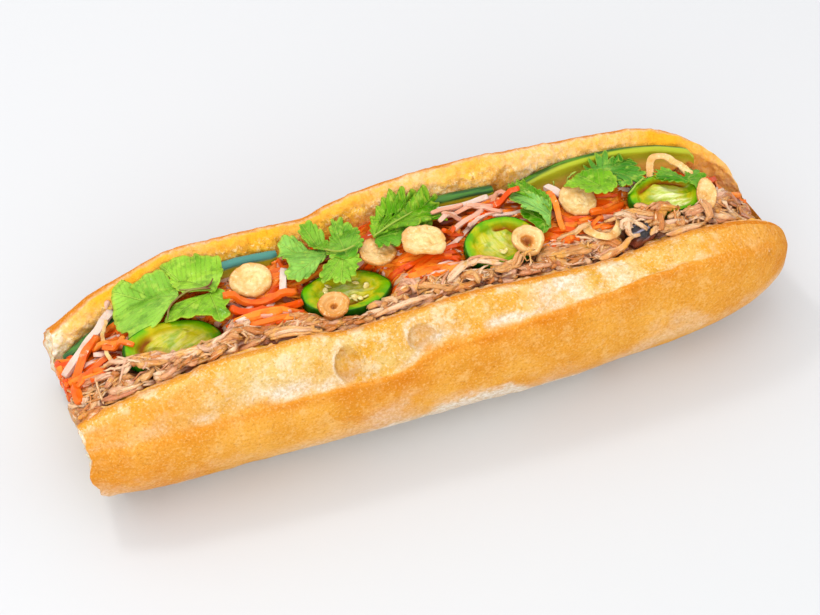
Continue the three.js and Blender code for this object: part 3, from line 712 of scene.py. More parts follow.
def short_of_front_rim(loop):
    return 1 - smooth(RIM_WRAP, RIM_WRAP + 0.3, loop)


def ear_at(points):
    """Where the score's lower lip runs, in places round the section's loop."""
    return EAR - ear_lift(points[..., 0]) + 0.3 * noise(points, 9, 5) + 0.14 * noise(points, 3.5, 6)


def bubbles_over(points, loop):
    """Each bubble's radius and darkness, with distance and height from its middle in radii."""
    near_front = (loop < BELLY) | (loop > RIM_WRAP)
    x, z = points[..., 0], points[..., 2]
    for place, height, radius, tall, dark in BUBBLES:
        miss = np.abs(x - place) + np.abs(z - height) + 99 * ~near_front
        middle = points[np.unravel_index(miss.argmin(), miss.shape)]
        away = points - middle
        far = np.linalg.norm(away / [1, tall, tall], axis=-1) / radius + 9 * ~near_front
        yield radius, dark, far, away[..., 2] / radius, away[..., 0] / radius


def bread_masks(points, loop, face):
    """Where the roll is pale, floury, crumb, toasted, browned, or lit and shaded in paint; face is 1
    on its cut end.
    """
    x, y, z = points[..., 0], points[..., 1], points[..., 2]
    patch = layered(points, 24, 3)
    ear = ear_at(points)
    unrolled = np.where(loop > RIM_WRAP, loop - len(SECTION), loop)
    front = smooth(-0.75, -0.45, unrolled) * (1 - smooth(9, 9.4, loop))
    split = split_at(x)
    above = 1 - smooth(ear - 0.2, ear + 0.12, unrolled)
    bloom = front * above * split * (0.95 + 0.5 * patch)
    torn_rim = bump(unrolled, 0, 0.4 + 0.2 * patch) * smooth(100, 80, x)
    bloom = np.maximum(bloom, torn_rim)
    ledge = bump(unrolled, ear - 0.4, 0.3) * split * smooth(-0.1, 0.4, layered(points, 14, 11))
    ledge = ledge * smooth(56, 34, x)
    white = front * above * sum(amount * bump(x, place, across) * bump(z, height, high)
                                for place, height, across, high, amount in FLOURED)
    white = white * smooth(-0.6, 0.2, layered(points, 6, 14))
    scorch = 0 * x
    rims = 0 * x
    for radius, dark, far, rise, aside in bubbles_over(points, loop):
        inside = smooth(1.0, 0.75, far)
        # Painted shadow: a dark crescent along each bubble's lower left lip.
        lip = bump(far, 0.85, 0.22) * smooth(0.35, -0.5, rise + 0.4 * aside)
        scorch = np.maximum(scorch, dark * np.maximum(0.35 * inside, 0.75 * lip))
        # Painted highlight: a pale rim on each bubble's left side, laid in with the flour.
        rims = np.maximum(rims, bump(far, 1.12, 0.14) * smooth(0.6, -0.6, aside))
    ragged = 4 * noise(points, 12, 8) + 2.5 * noise(points, 4, 9)
    floury = 0.75 * smooth(8, 2.5, z + ragged)
    reach = torn_heel(x)
    torn = smooth(reach, reach - 8, z + 0.8 * ragged + 1.5 * noise(points, 1.6, 10))
    torn = torn * (loop < HEEL + 1) * (reach > 0.2)
    dusted = 0.4 * smooth(26, 12, z + 2 * ragged) * (loop < HEEL + 1) * smooth(-0.5, 0.3, patch)
    flour = np.maximum.reduce([floury, torn, 0.85 * ledge, white, 0.6 * rims, dusted])
    flour = np.clip(flour * (1 - 0.8 * scorch), 0, 0.97)
    inside = smooth(BACK_RIM - 0.1, BACK_RIM + 0.25, loop) * short_of_front_rim(loop)
    crumb = np.maximum(inside, face)
    toast = inside * (1 - face) * np.clip(0.85 + 0.4 * patch, 0, 1) * smooth(-124, -114, x)
    deep = loop - BACK_RIM + 0.35 * patch
    # Painted light: the shaded lower inner wall and the tip's inner wall are lifted to a bright
    # amber.
    low_amber = 0.45 * smooth(0.8, 1.4, deep) + 1.1 * smooth(74, 92, x)
    amber = np.maximum(smooth(1.0, 0.65, deep), low_amber) * inside * smooth(-122, -112, x)
    brown = (0.1 + 0.5 * layered(points, 30, 13)
             + 0.5 * smooth(75, 120, x) + 0.5 * smooth(-70, -105, x)
             + 0.85 * bump(unrolled, ear + 0.6, 0.7) * (loop < HEEL) * split)
    brown = np.where(loop > BELLY + 5, brown + 1.5, brown)
    return dict(bloom=np.clip(bloom, 0, 1), flour=flour * (1 - crumb), crumb=crumb, toast=toast,
                amber=amber, brown=np.clip(brown, 0, 1.8), scorch=scorch * (1 - crumb))


def bread_relief(points, loop):
    """How far the roll's surface stands out from its smooth form."""
    x, z = points[..., 0], points[..., 2]
    ear, split = ear_at(points), smooth(-104, -66, x) * smooth(96, 66, x)
    out = 0.55 * layered(points, 26, 22) + 0.22 * layered(points, 4, 23) * (z > 0.4)
    out += split * (0.5 * bump(loop, ear + 0.35, 0.35) - 0.55 * bump(loop, ear - 0.35, 0.4))
    stretch = np.stack([x, points[..., 1] * 0.3, z * 0.3], -1)
    on_bloom = smooth(0.05, 0.5, loop) * (1 - smooth(ear - 0.5, ear - 0.1, loop))
    out += on_bloom * split_at(x) * (0.45 * noise(stretch, 4, 24) + 0.6 * noise(points, 6, 25)
                                     + 0.22 * noise(points, 1.8, 29))
    for radius, _, far, _, _ in bubbles_over(points, loop):
        bowl = -0.62 * radius * np.sqrt(np.clip(1 - far * far, 0, 1))
        out += bowl + 0.13 * radius * bump(far, 1.1, 0.16)
    inner = smooth(BACK_RIM, BACK_RIM + 0.4, loop) * short_of_front_rim(loop)
    pits = np.minimum(layered(points, 3.4, 26), 0.1)
    out += inner * (1.2 * pits + 0.7 * noise(points, 1.6, 27))
    rim = bump(loop, BACK_RIM + 0.1, 0.3) + bump(loop, len(SECTION), 0.3) + bump(loop, 0, 0.3)
    out += rim * (0.8 * layered(points, 5, 28) + 0.4 * noise(points, 1.7, 30))
    return out * smooth(123, 112, x)


def make_bread():
    """The roll: its skin and channel in one grid, torn along its foot, with a cap at either end."""
    loop = np.concatenate([i + np.arange(n) / n for i, n in enumerate(POINTS_BETWEEN)])
    t = np.linspace(0, 1, LOAF_STATIONS)
    grid = loaf_grid(t + 0.035 * np.sin(2 * np.pi * t), loop)
    normal = normals_of(grid, closed=True)
    places = np.broadcast_to(loop, grid.shape[:2])
    grid += normal * bread_relief(grid, places)[..., None]
    ragged = smooth(8, 0.5, grid[..., 2]) * smooth(120, 108, grid[..., 0])
    ragged = ragged * ((places > BELLY + 0.5) & (places < 10))
    frayed = 1.2 * noise(grid * [1, 0.2, 0.2], 3.0, 31) + 1.0 * noise(grid * [1, 0.2, 0.2], 8, 32)
    grid += normal * [1, 1, 0] * (ragged * frayed)[..., None]
    torn_end = 1.3 * noise(grid * [0, 1, 1], 6, 33) + 0.9 * noise(grid * [0, 1, 1], 2.4, 34)
    grid[..., 0] += smooth(-116, -123.5, grid[..., 0]) * torn_end
    grid[..., 2] = np.clip(grid[..., 2], 0, HIGHEST)
    shape = Shape()
    masks = bread_masks(grid, places, 0 * places)
    shape.add(grid, grid_faces(*grid.shape[:2], closed=True),
              **{key: value.ravel() for key, value in masks.items()})
    for end, out in ((0, -1), (-1, 1)):
        add_bread_cap(shape, grid[end], loop, out)
    return shape.piece("bread_roll", bread_look(), "crust", "bread")


def add_bread_cap(shape, ring, loop, out):
    """The roll's end, between its outer skin and the channel: a torn crumb face, or a full nose."""
    outer = np.flatnonzero(loop <= BACK_RIM)
    inner = np.r_[0, np.arange(len(loop) - 1, outer[-1] - 1, -1)]
    where = np.linspace(0, 1, len(inner))
    spaced = np.interp(np.linspace(0, 1, len(outer)), where, np.arange(len(inner)))
    low = np.floor(spaced).astype(int)
    part = (spaced - low)[:, None]
    inside = ring[inner][low] * (1 - part) + ring[inner][np.minimum(low + 1, len(inner) - 1)] * part
    s = np.linspace(0, 1, CUT_DEPTH)[None, :, None]
    grid = ring[outer][:, None, :] * (1 - s) + inside[:, None, :] * s
    middle = (4 * s * (1 - s))[..., 0] ** 0.6
    if out < 0:
        pits = np.minimum(layered(grid, 4.5, 41), 0.15)
        grid[..., 0] += -middle * (1.5 * pits + 0.9 * noise(grid, 2, 42) - 0.3)
    else:
        grid[..., 0] += 0.4 * middle
    places = np.broadcast_to(loop[outer][:, None], grid.shape[:2])
    masks = bread_masks(grid, places, middle if out < 0 else 0 * middle)
    faces = grid_faces(*grid.shape[:2])
    shape.add(grid, faces if out < 0 else faces[:, ::-1],
              **{key: np.broadcast_to(value, grid.shape[:2]).ravel()
                 for key, value in masks.items()})


# ---------------------------------------------------------------- the filling's channel

# The height at which the back wall's place is taken for what leans on it.
WALL_LEVEL = 43
CROWN = 4.5
FRONT_DROP = 2.5
BACK_DROP = 8.5
# bare is how far the filling stays below its crown in front of a slice, rind where its skin begins
# over the top edge at either end, drop how far its far end is rounded down, and blue how much
# painted sky reflection lies on its skin.
CUCUMBERS = [
    dict(top=((-121, 33), (-110, 37), (-97, 40)), depth=15, thick=3.2, inset=0.6, bare=3,
         blue=0.1, rind=(-2, -2), drop=0),
    dict(top=((-80, 46.5), (-64, 48), (-46, 46.5)), depth=19, thick=3.2, inset=0.6, bare=3,
         blue=0.9, rind=(-2, -2), drop=0),
    dict(top=((-1, 51), (12, 51.5), (30, 50)), depth=19, thick=3.2, inset=0.6, bare=3,
         blue=0.1, rind=(-2, -2), drop=0),
    dict(top=((35, 46), (48, 50), (60, 51.5), (72, 51.2), (88, 49), (103, 45.5)), depth=22,
         thick=3.6, inset=0.4, bare=7, blue=0, rind=(-0.6, 0.3), drop=2),
]
# Share of the channel's width where the meat gives way to the pickles.
meat_share = curve((-124, 0.34), (-110, 0.31), (-97, 0.22), (-65, 0.2), (-40, 0.12), (-15, 0.19),
                   (2, 0.16), (19, 0.17), (38, 0.21), (57, 0.28), (74, 0.24), (88, 0.26),
                   (98, 0.3), (112, 0.34))
# Where the heap sinks: X, Y, reach each way, and how deep.
DIPS = [(-58, -6, 12, 6, 2.5)]
# The pieces that lie on the filling, in the order in which they are made.
toppings = []


def wall_y(x, z, controls):
    """Inner wall Y of the front or back half at x and height z."""
    line = np.array([np.stack(control_at(i, x)) for i in controls])
    y = line[0][0]
    for (y0, z0), (y1, z1) in zip(line[:-1], line[1:]):
        y = np.where(z >= z0, lerp(y0, y1, np.clip((z - z0) / (z1 - z0), 0, 1)), y)
    return y


def front_wall_y(x, z):
    return wall_y(x, z, (16, 17, 18, 19)) + CHANNEL_GAP


def back_wall_y(x, z):
    return wall_y(x, z, (16, 15, 14, 13)) - CHANNEL_GAP


def fill_top(x, y):
    """Height of the heaped filling: level with both rims, crowned between them."""
    front_y, front_z = control_at(RIM, x)
    back_y, back_z = control_at(BACK_RIM, x)
    t = np.clip((y - front_y - 6) / np.maximum(back_y - front_y - 13, 8), -0.1, 1.1)
    return lerp(front_z - FRONT_DROP, back_z - BACK_DROP, t) + CROWN * 4 * t * (1 - t)


def placed(points, spot):
    """Turns points about their own axes and sets them down over the filling."""
    matrix = turned(spot["pitch"], spot.get("roll", 0), spot["yaw"])
    height = fill_top(spot["x"], spot["y"]) + spot["lift"]
    return points @ matrix.T + [spot["x"], spot["y"], height]


def widened(grid, pick, cells=2):
    """Each cell's value picked from the cells round it."""
    for axis in (0, 1) * cells:
        grid = pick(grid, pick(np.roll(grid, 1, axis), np.roll(grid, -1, axis)))
    return grid


class Pile:
    """Height of the filling over a fine grid, raised by each strip that lands on it."""

    CELL = 0.5
    FROM = (-128, -34)
    SHAPE = (504, 136)

    def __init__(self, sunk):
        i, j = np.meshgrid(*(np.arange(n) for n in self.SHAPE), indexing="ij")
        self.x = self.FROM[0] + (i + 0.5) * self.CELL
        self.y = self.FROM[1] + (j + 0.5) * self.CELL
        self.goal = fill_top(self.x, self.y) - self.hollow()
        self.top = self.goal - sunk
        self.roof = np.full(self.SHAPE, 99.0)
        self.over = np.full(self.SHAPE, -99.0)
        for shape in toppings:
            points = np.concatenate(shape.points)
            cells = self.cell(points[:, 0], points[:, 1])
            np.minimum.at(self.roof, cells, points[:, 2])
            np.maximum.at(self.over, cells, points[:, 2])
        self.roof = widened(self.roof, np.minimum)
        self.over = widened(self.over, np.maximum)

    def hollow(self):
        """How far the filling lies below its crown, beside the cucumber and at the tip."""
        share = smooth(-10, 8, self.y)
        low = 4 * smooth(96, 112, self.x) + 5 * share * smooth(88, 104, self.x)
        for slab in CUCUMBERS:
            start, end = slab["top"][0][0], slab["top"][-1][0]
            near = smooth(13, 3, back_wall_y(self.x, WALL_LEVEL) - self.y - slab["thick"])
            low = low + slab["bare"] * near * smooth(start - 2, start + 6, self.x) * smooth(
                end + 2, end - 6, self.x)
        for x, y, across, deep, depth in DIPS:
            low = low + depth * bump(self.x, x, across) * bump(self.y, y, deep)
        return low

    def cell(self, x, y):
        i = np.clip(((x - self.FROM[0]) / self.CELL).astype(int), 0, self.SHAPE[0] - 1)
        j = np.clip(((y - self.FROM[1]) / self.CELL).astype(int), 0, self.SHAPE[1] - 1)
        return i, j

    def lay(self, line, width, thick, limp=2, covering=False):
        """Heights at which a strip along a flat line comes to rest, over the toppings if covering."""
        along = np.gradient(line, axis=0)
        along /= np.maximum(np.linalg.norm(along, axis=1, keepdims=True), 1e-6)
        side = along[:, ::-1] * [-1, 1]
        lanes = np.linspace(-0.42, 0.42, 5) * width
        cells = self.cell(line[:, :1] + side[:, :1] * lanes, line[:, 1:] + side[:, 1:] * lanes)
        under = self.top[cells]
        if covering:
            under = np.maximum(under, self.over[cells])
        rest = under.mean(1) * 0.5 + under.max(1) * 0.5 + 0.45 * thick
        z = rest
        for _ in range(limp):
            z = np.maximum(rest - 0.25 * thick, eased(z, 3))
        if not covering:
            roof = self.roof[cells].min(1) - 0.55 * thick - 0.15
            z = np.minimum(z, eased(np.minimum(z, roof), 1))
            z = np.minimum(z, roof)
        return z, cells

    def depth(self, points):
        """How far points lie buried below the finished pile, for painted shade: 0 on it, 1 well down.
        """
        top = widened(self.top, np.maximum, 1)[self.cell(points[:, 0], points[:, 1])]
        return smooth(0.5, 3.4, top - points[:, 2])

    def settle(self, z, cells, thick):
        """Raises the pile under a strip that has been laid."""
        dome = np.array([0.15, 0.42, 0.5, 0.42, 0.15]) * thick
        np.maximum.at(self.top, cells, z[:, None] + dome)


def flow(points, steps):
    """Evenly spread points on a smooth curve through a few."""
    points = np.asarray(points, float)
    knots = np.r_[0, np.cumsum(np.linalg.norm(np.diff(points, axis=0), axis=1))]
    t = np.linspace(0, knots[-1], steps)
    slopes = np.gradient(points, knots, axis=0)
    i = np.clip(np.searchsorted(knots, t) - 1, 0, len(knots) - 2)
    h = (knots[i + 1] - knots[i])[:, None]
    s = (t[:, None] - knots[i][:, None]) / h
    return hermite(s, h, points[i], points[i + 1], slopes[i], slopes[i + 1])


# ---------------------------------------------------------------- strips in the filling

# Each kind of strip: its size, how it lies and bends, and how far above the crown it may rest.
BASE = dict(long=(9, 22), wide=(2.4, 4.4), flat=(0.4, 0.65), spread=0.35, bend=0.6, limp=1, sides=6,
            twist=1.2, ridges=0.28, square=0.0, blunt=0.35, rise=-0.6, pitch=2.2)
FLAKE = dict(long=(5, 12), wide=(2.0, 4.4), flat=(0.45, 0.7), spread=0.5, bend=0.7, limp=1, sides=6,
             twist=0.8, ridges=0.3, square=0.0, blunt=0.4, rise=0.6, pitch=1.5, fibre=1.3)
SHRED = dict(long=(8, 24), wide=(1.2, 3.0), flat=(0.5, 0.75), spread=0.4, bend=0.8, limp=1, sides=6,
             twist=1.0, ridges=0.26, square=0.0, blunt=0.3, rise=0.9, pitch=2.0, fibre=1.1)
FIBRE = dict(long=(3, 15), wide=(0.45, 1.1), flat=(0.6, 0.9), spread=0.7, bend=1.5, limp=1, sides=5,
             twist=1.0, ridges=0.25, square=0.0, blunt=0.25, rise=1.4, pitch=1.5)
CARROT = dict(long=(18, 46), wide=(1.2, 2.3), flat=(0.6, 1.0), spread=0.34, bend=0.45, limp=3,
              sides=8, twist=0.9, ridges=0.06, square=0.75, blunt=0.8, rise=0.4, pitch=2.6)
RADISH = dict(long=(16, 34), wide=(1.1, 2.0), flat=(0.55, 0.9), spread=0.55, bend=0.5, limp=3,
              sides=8, twist=0.7, ridges=0.06, square=0.7, blunt=0.75, rise=0.5, pitch=1.9)
HEAP_SPAN = (-122, 110)
MEAT_KINDS = (BASE, FLAKE, SHRED, FIBRE)
# The share of strips that lie askew, and how high a strip over the toppings may stand.
STRAY = 0.22
MOST_COVER = 2.4


def channel_y(x, share):
    """Y at a share of the channel's width, in front of any cucumber that stands there."""
    back = back_wall_y(x, WALL_LEVEL) - 0.3
    for slab in CUCUMBERS:
        start, end = slab["top"][0][0], slab["top"][-1][0]
        room = slab["inset"] + slab["thick"] + 0.4
        back = back - room * smooth(start - 3, start, x) * smooth(end + 3, end, x)
    return lerp(front_wall_y(x, 46) - 0.6, back, share)


def loose_line(rule, roll, x, y):
    """A flat, gently curving line for one strip through a place."""
    long = roll.uniform(*rule["long"])
    steps = int(np.clip(long / rule["pitch"], 6, 24))
    t = np.linspace(-0.5, 0.5, steps)
    spread = rule["spread"] * (2.6 if roll.random() < STRAY else 1)
    heading = roll.normal(0, spread) + roll.normal(0, rule["bend"]) * t
    heading += 0.25 * rule["bend"] * np.sin(9 * t + roll.uniform(0, 6))
    step = np.stack([np.cos(heading), np.sin(heading)], 1) * long / (steps - 1)
    line = np.cumsum(step, axis=0)
    return line + [x, y] - line[steps // 2]


def kept_inside(line, low, high):
    """A strip's line, held between two shares of the channel's width."""
    line[:, 0] = np.clip(line[:, 0], -123.5, 112)
    near, far = channel_y(line[:, 0], low), channel_y(line[:, 0], min(high + 0.05, 1))
    line[:, 1] = np.clip(line[:, 1], near, np.maximum(far, near + 0.5))
    return line


def add_shred(shape, path, width, thick, rule, roll, tone, sauce):
    """A shred of pulled meat: fibres side by side along a path, which part towards its ends."""
    count = int(np.clip(round(width / rule["fibre"]), 2, 4))
    side, up = axes_along(path)
    t = np.linspace(-1, 1, len(path))
    angle = (roll.normal(0, 0.25) + roll.normal(0, 0.6) * t)[:, None]
    flat = side * np.cos(angle) + up * np.sin(angle)
    for k in range(count):
        place = (k + 0.5) / count - 0.5
        part = 0.8 + roll.normal(0.1, 0.5) * np.abs(t) ** 3
        shift = width * (place * part + roll.normal(0, 0.1) * t + 0.08 * np.sin(3 * t + k))
        line = path + flat * shift[:, None] + up * thick * roll.normal(0, 0.2)
        first, last = roll.integers(0, 3), len(path) - roll.integers(0, 3)
        if last - first < 4:
            first, last = 0, len(path)
        add_strip(shape, line[first:last], width / count * roll.uniform(1.5, 2.2),
                  thick * roll.uniform(0.6, 1.15), roll.uniform(0, 999), rule["sides"],
                  roll.normal(0, 0.6), roll.normal(0, 0.4), rule["ridges"], 0, rule["blunt"],
                  tone=tone + roll.normal(0, 0.14), sauce=sauce)


def put_strip(pile, shape, rule, roll, line, width, covering=False, tone=None):
    """Lets one strip fall on the pile, unless the pile is already high enough."""
    thick = width * roll.uniform(*rule["flat"])
    z, cells = pile.lay(line, width, thick, rule["limp"], covering)
    if covering:
        ground = np.maximum(pile.goal[cells], pile.over[cells]).mean(1)
        if (z - ground).mean() > MOST_COVER:
            return
    elif (z - pile.goal[cells].mean(1)).mean() > rule["rise"]:
        return
    pile.settle(z, cells, thick)
    path = np.concatenate([line, z[:, None]], 1)
    path[:, 2] += 0.12 * thick * noise(path[:, :2], 5, 61)
    tone = roll.uniform(-0.1, 1.1) if tone is None else tone
    sauce = roll.uniform(0, 1)
    if "fibre" in rule:
        add_shred(shape, path, width, thick, rule, roll, tone, sauce)
    else:
        add_strip(shape, path, width, thick, roll.uniform(0, 999), rule["sides"],
                  roll.normal(0, rule["twist"]), roll.normal(0, 0.25), rule["ridges"],
                  rule["square"], rule["blunt"], tone=tone, sauce=sauce)


def scatter(pile, shape, rule, roll, count, span=HEAP_SPAN):
    """Drops strips of one kind on their side of the line between meat and pickles."""
    meat = rule in MEAT_KINDS
    for x in roll.uniform(*span, count):
        edge = meat_share(x)
        low, high = (0, edge) if meat else (edge + 0.02, 0.97)
        if not meat and x > RAGGED_END and roll.random() < 0.7:
            continue
        line = loose_line(rule, roll, x, channel_y(x, roll.uniform(low, high)))
        line = kept_inside(line, low, high)
        put_strip(pile, shape, rule, roll, line, roll.uniform(*rule["wide"]))


# Meat scattered over the toppings: where it starts and ends, its far edge there, how far it reaches
# forward, and how many strips of each kind lie there.
COVERS = [
    (-106, -92, -10, -14, 7, 22, 16),
    (-94, -80, -14.5, -14.5, 5, 14, 14),
    (-99, -78, -16, -15.5, 6, 20, 16),
    (-82, -70, -14.5, -15, 5, 10, 10),
    (-30, -17, -18.5, -17.5, 5, 9, 8),
    (5, 19, -16.5, -17.5, 5, 12, 10),
    (20, 34, -17.5, -18, 3, 8, 8),
    (64, 76, -9.5, -10.5, 6, 16, 10),
    (76, 92, -10.5, -14.5, 5, 14, 10),
]
RAGGED_END = 98
# Strips that start before this X show at the loaf's open end, however deep they lie.
SEEN_END = -117
# From where to where the dark between strips gives way to the light of the open end.
LIT_END = (-120, -115)


def cover_toppings(pile, shape, roll):
    for start, end, far_start, far_end, reach, flakes, fibres in COVERS:
        for rule, count in ((FLAKE, flakes // 2), (SHRED, flakes - flakes // 2), (FIBRE, fibres)):
            for t in roll.uniform(0, 1, count):
                y = lerp(far_start, far_end, t) - roll.uniform(0, reach)
                line = loose_line(rule, roll, lerp(start, end, t), y)
                line[:, 1] = np.minimum(line[:, 1], lerp(far_start, far_end, t) + 0.6)
                line = kept_inside(line, 0, 0.95)
                put_strip(pile, shape, rule, roll, line, roll.uniform(*rule["wide"]), covering=True)


CORE_SPAN = (-121.5, 110)
# The core's tone: past the strips' tones, it turns the core into painted shade.
CORE_TONE = 2.0


def add_core(pile, shape, front, stations=150, columns=18):
    """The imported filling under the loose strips: the front's meat, or the pickles behind it."""
    x = np.linspace(*CORE_SPAN, stations)[:, None]
    edge = meat_share(x)
    share = np.linspace(0, 1, columns)[None, :]
    share = share * (edge + 0.02) if front else lerp(edge, 0.98, share)
    y = channel_y(x, share)
    top = pile.top[pile.cell(np.broadcast_to(x, y.shape), y)]
    sides = []
    for side in (0, -1):
        depth = np.linspace(0, 1, 6)[1:, None]
        height = lerp(top[:, side], 0 * top[:, side] + FLOOR + 3, depth)
        wall = front_wall_y if side == 0 else back_wall_y
        lean = wall(x[:, 0], height) - wall(x[:, 0], 45 + 0 * height)
        sides.append(np.stack([np.broadcast_to(x[:, 0], height.shape),
                               y[:, side] + lean * (1 if front or side else 0.6), height], -1))
    left = sides[0].transpose(1, 0, 2)[:, ::-1]
    right = sides[1].transpose(1, 0, 2)
    surface = np.stack([np.broadcast_to(x, y.shape), y, top], -1)
    grid = np.concatenate([left, surface, right], 1)
    grain = np.stack([grid[..., 0], grid[..., 1] * 1.3, grid[..., 2]], -1).reshape(-1, 3)
    # Painted shade: the core takes the dark shade colour, fading out at the open end.
    inside = np.clip((grid[..., 0] + 121.4) / 1.8, 0, 1).ravel()
    shape.add(grid, *tube_faces(*grid.shape[:2]), grain=grain, tone=CORE_TONE * inside,
              sauce=inside, corner=0)


def add_cut_ends(shape, rule, roll, shares, count):
    """Short strips that show their ends at the loaf's open end."""
    for _ in range(count):
        y = channel_y(-118.0, roll.uniform(*shares))
        top = fill_top(-119.0, y) - 2
        z = roll.uniform(FLOOR + 4, top)
        y = y * lerp(0.35, 1, (z - FLOOR) / (top - FLOOR))
        start = np.array([roll.uniform(-123.2, -120.8), y, z])
        end = start + [roll.uniform(7, 12), roll.normal(0, 2), roll.normal(0.5, 1.5)]
        width = roll.uniform(*rule["wide"])
        middle = (start + end) / 2 + [0, roll.normal(0, 0.8), roll.normal(0, 0.6)]
        add_strip(shape, flow([start, middle, end], 8), width, width * roll.uniform(*rule["flat"]),
                  roll.uniform(0, 999), rule["sides"], roll.normal(0, 1), roll.normal(0, 1),
                  rule["ridges"], rule["square"], rule["blunt"],
                  tone=roll.uniform(0, 1), sauce=roll.uniform(0, 1))


# Strips that lie over the toppings: width, tone, and places seen from above.
OVER_MEAT = [
    (1.6, -0.2, (-114, -5.5), (-105, -11), (-93, -15), (-82, -17), (-71, -15)),
    (1.0, -0.3, (-112, -9), (-104, -13), (-97, -11.5), (-90, -14)),
    (0.9, -0.3, (-110, -12), (-105, -10), (-98, -14), (-92, -12)),
    (1.1, -0.3, (-107, -8), (-103, -13), (-99, -17)),
    (0.9, -0.3, (-109, -16), (-105, -11.5), (-100, -10.5), (-95, -12)),
    (1.0, -0.3, (-101, -17), (-96, -13), (-90, -13), (-85, -15)),
    (1.8, 0.6, (-116, -10), (-110, -12), (-103, -15.5), (-92, -18)),
    (3.0, 0.1, (-112, -16), (-105, -18), (-98, -19.5), (-88, -21)),
    (2.6, 0.0, (-94, -19), (-84, -19.5), (-78, -20.5), (-67, -20)),
    (1.0, 0.3, (-114, -6), (-115, -12), (-115, -19)),
    (4.6, 0.9, (-124, -18), (-120, -19), (-115, -20)),
    (4.4, 1.1, (-116, -15), (-112, -16.5), (-109, -17.5)),
    (1.1, 0.5, (-106, -13), (-101, -12.5), (-95, -15), (-89, -12.5)),
    (1.0, 0.6, (-100, -15), (-95, -12), (-90, -14.5), (-84, -13), (-78, -15)),
    (1.2, 0.2, (-97, -12), (-92, -15.5), (-86, -15), (-80, -17.5)),
    (2.2, 0.9, (-79, -18), (-72, -17.5), (-66, -17), (-60, -10.5)),
    (4.0, 0.15, (-66, -18), (-59, -15), (-52, -14.5), (-47, -16.5), (-43, -20)),
    (2.8, 0.3, (-63, -20), (-56, -19.5), (-50, -21), (-43, -22)),
    (2.2, 0.1, (-41, -22), (-35, -20.5), (-28, -21), (-21, -19.5), (-9, -19)),
    (2.0, 0.8, (-36, -22.5), (-29, -22.5), (-23, -23), (-11, -22.5)),
    (1.4, 0.5, (-26, -22), (-20, -18), (-15, -15), (-10, -12)),
    (2.4, 0.3, (-1, -18.5), (5, -15), (10, -13), (19, -17)),
    (1.3, 0.6, (5, -13), (11, -12), (17, -14)),
    (1.2, 0.4, (9, -14.5), (14, -13.5), (21, -16.5)),
    (3.2, 0.1, (12, -18), (21, -18), (30, -19.5), (47, -20.5)),
    (2.2, 0.7, (37, -18), (43, -17), (50, -18)),
    (1.8, 0.6, (40, -12.5), (46, -11), (53, -10)),
    (2.4, 0.4, (50, -21), (58, -20), (66, -20.5)),
    (1.6, 0.2, (64.5, -14.5), (63, -18), (64, -21.5)),
    (1.8, 0.4, (74, -16), (72.5, -19.5), (69, -22)),
    (2.6, 0.3, (72, -21), (80, -20.5), (92, -20)),
    (3.4, 0.1, (66, -11), (73, -10.5), (80, -13), (84, -15)),
    (1.8, 0.1, (99, -14), (103, -16), (108, -19)),
    (1.4, 0.3, (95, -19), (101, -16), (106, -19), (110, -17)),
    (0.9, -0.3, (101, -10), (106, -8), (112, -7)),
    (0.8, -0.3, (101, -14), (106, -12), (112, -11)),
    (0.9, -0.3, (100, -17), (103, -13), (107, -6)),
]
OVER_CARROT = [
    (2.3, 0.6, (-70, -1.5), (-60, -3.5), (-47, -5)),
    (2.4, 0.8, (-69, -7), (-60, -8.5), (-46, -8.5)),
    (2.0, 0.4, (-68, -12), (-60, -12.5), (-48, -12)),
    (1.6, 0.6, (-110, -1), (-105, -3.5), (-101, -7)),
    (1.5, 0.3, (-112, 2), (-107, 0), (-103, -3)),
    (1.8, 0.7, (99, 3), (106, 0), (112, -4)),
    (1.6, 0.3, (103, 5), (109, 3.5), (115, -1)),
    (1.9, 0.5, (104, -2), (109, -5), (115, -8)),
    (2.6, 0.6, (-110, 5.6), (-114, 4), (-117, 0.5), (-121, -6), (-121.7, -14.5)),
    (1.6, 0.8, (5, 0), (9, 2), (13, 5)),
    (1.8, 0.9, (22, 8), (28, 8.5), (35, 8)),
    (2.0, 0.3, (45, 6.5), (44, -2.5), (44, -9)),
    (2.0, 0.6, (55, -5.5), (62, -4.5), (68, -3.5)),
]
OVER_RADISH = [
    (1.6, 0.5, (5, 3), (9.5, 6.5), (15, 8)),
    (1.3, 0.8, (7, 6), (13, 6.5), (21, 5)),
    (1.7, 0.6, (10, 2), (14, 5), (22, 8)),
    (1.4, 0.9, (12, 8.5), (18, 9.5), (26, 8.5)),
    (1.5, 0.5, (15, 2.5), (20, 5.5), (27, 6)),
    (1.3, 0.7, (17, 10), (23, 8), (28, 5)),
    (1.4, 0.8, (4, 8), (9, 9.5), (16, 10.5)),
    (2.0, 0.6, (-112, 22), (-108, 23), (-103, 20)),
]


ROUNDS = 8
TIP_SPAN = (90, 112)


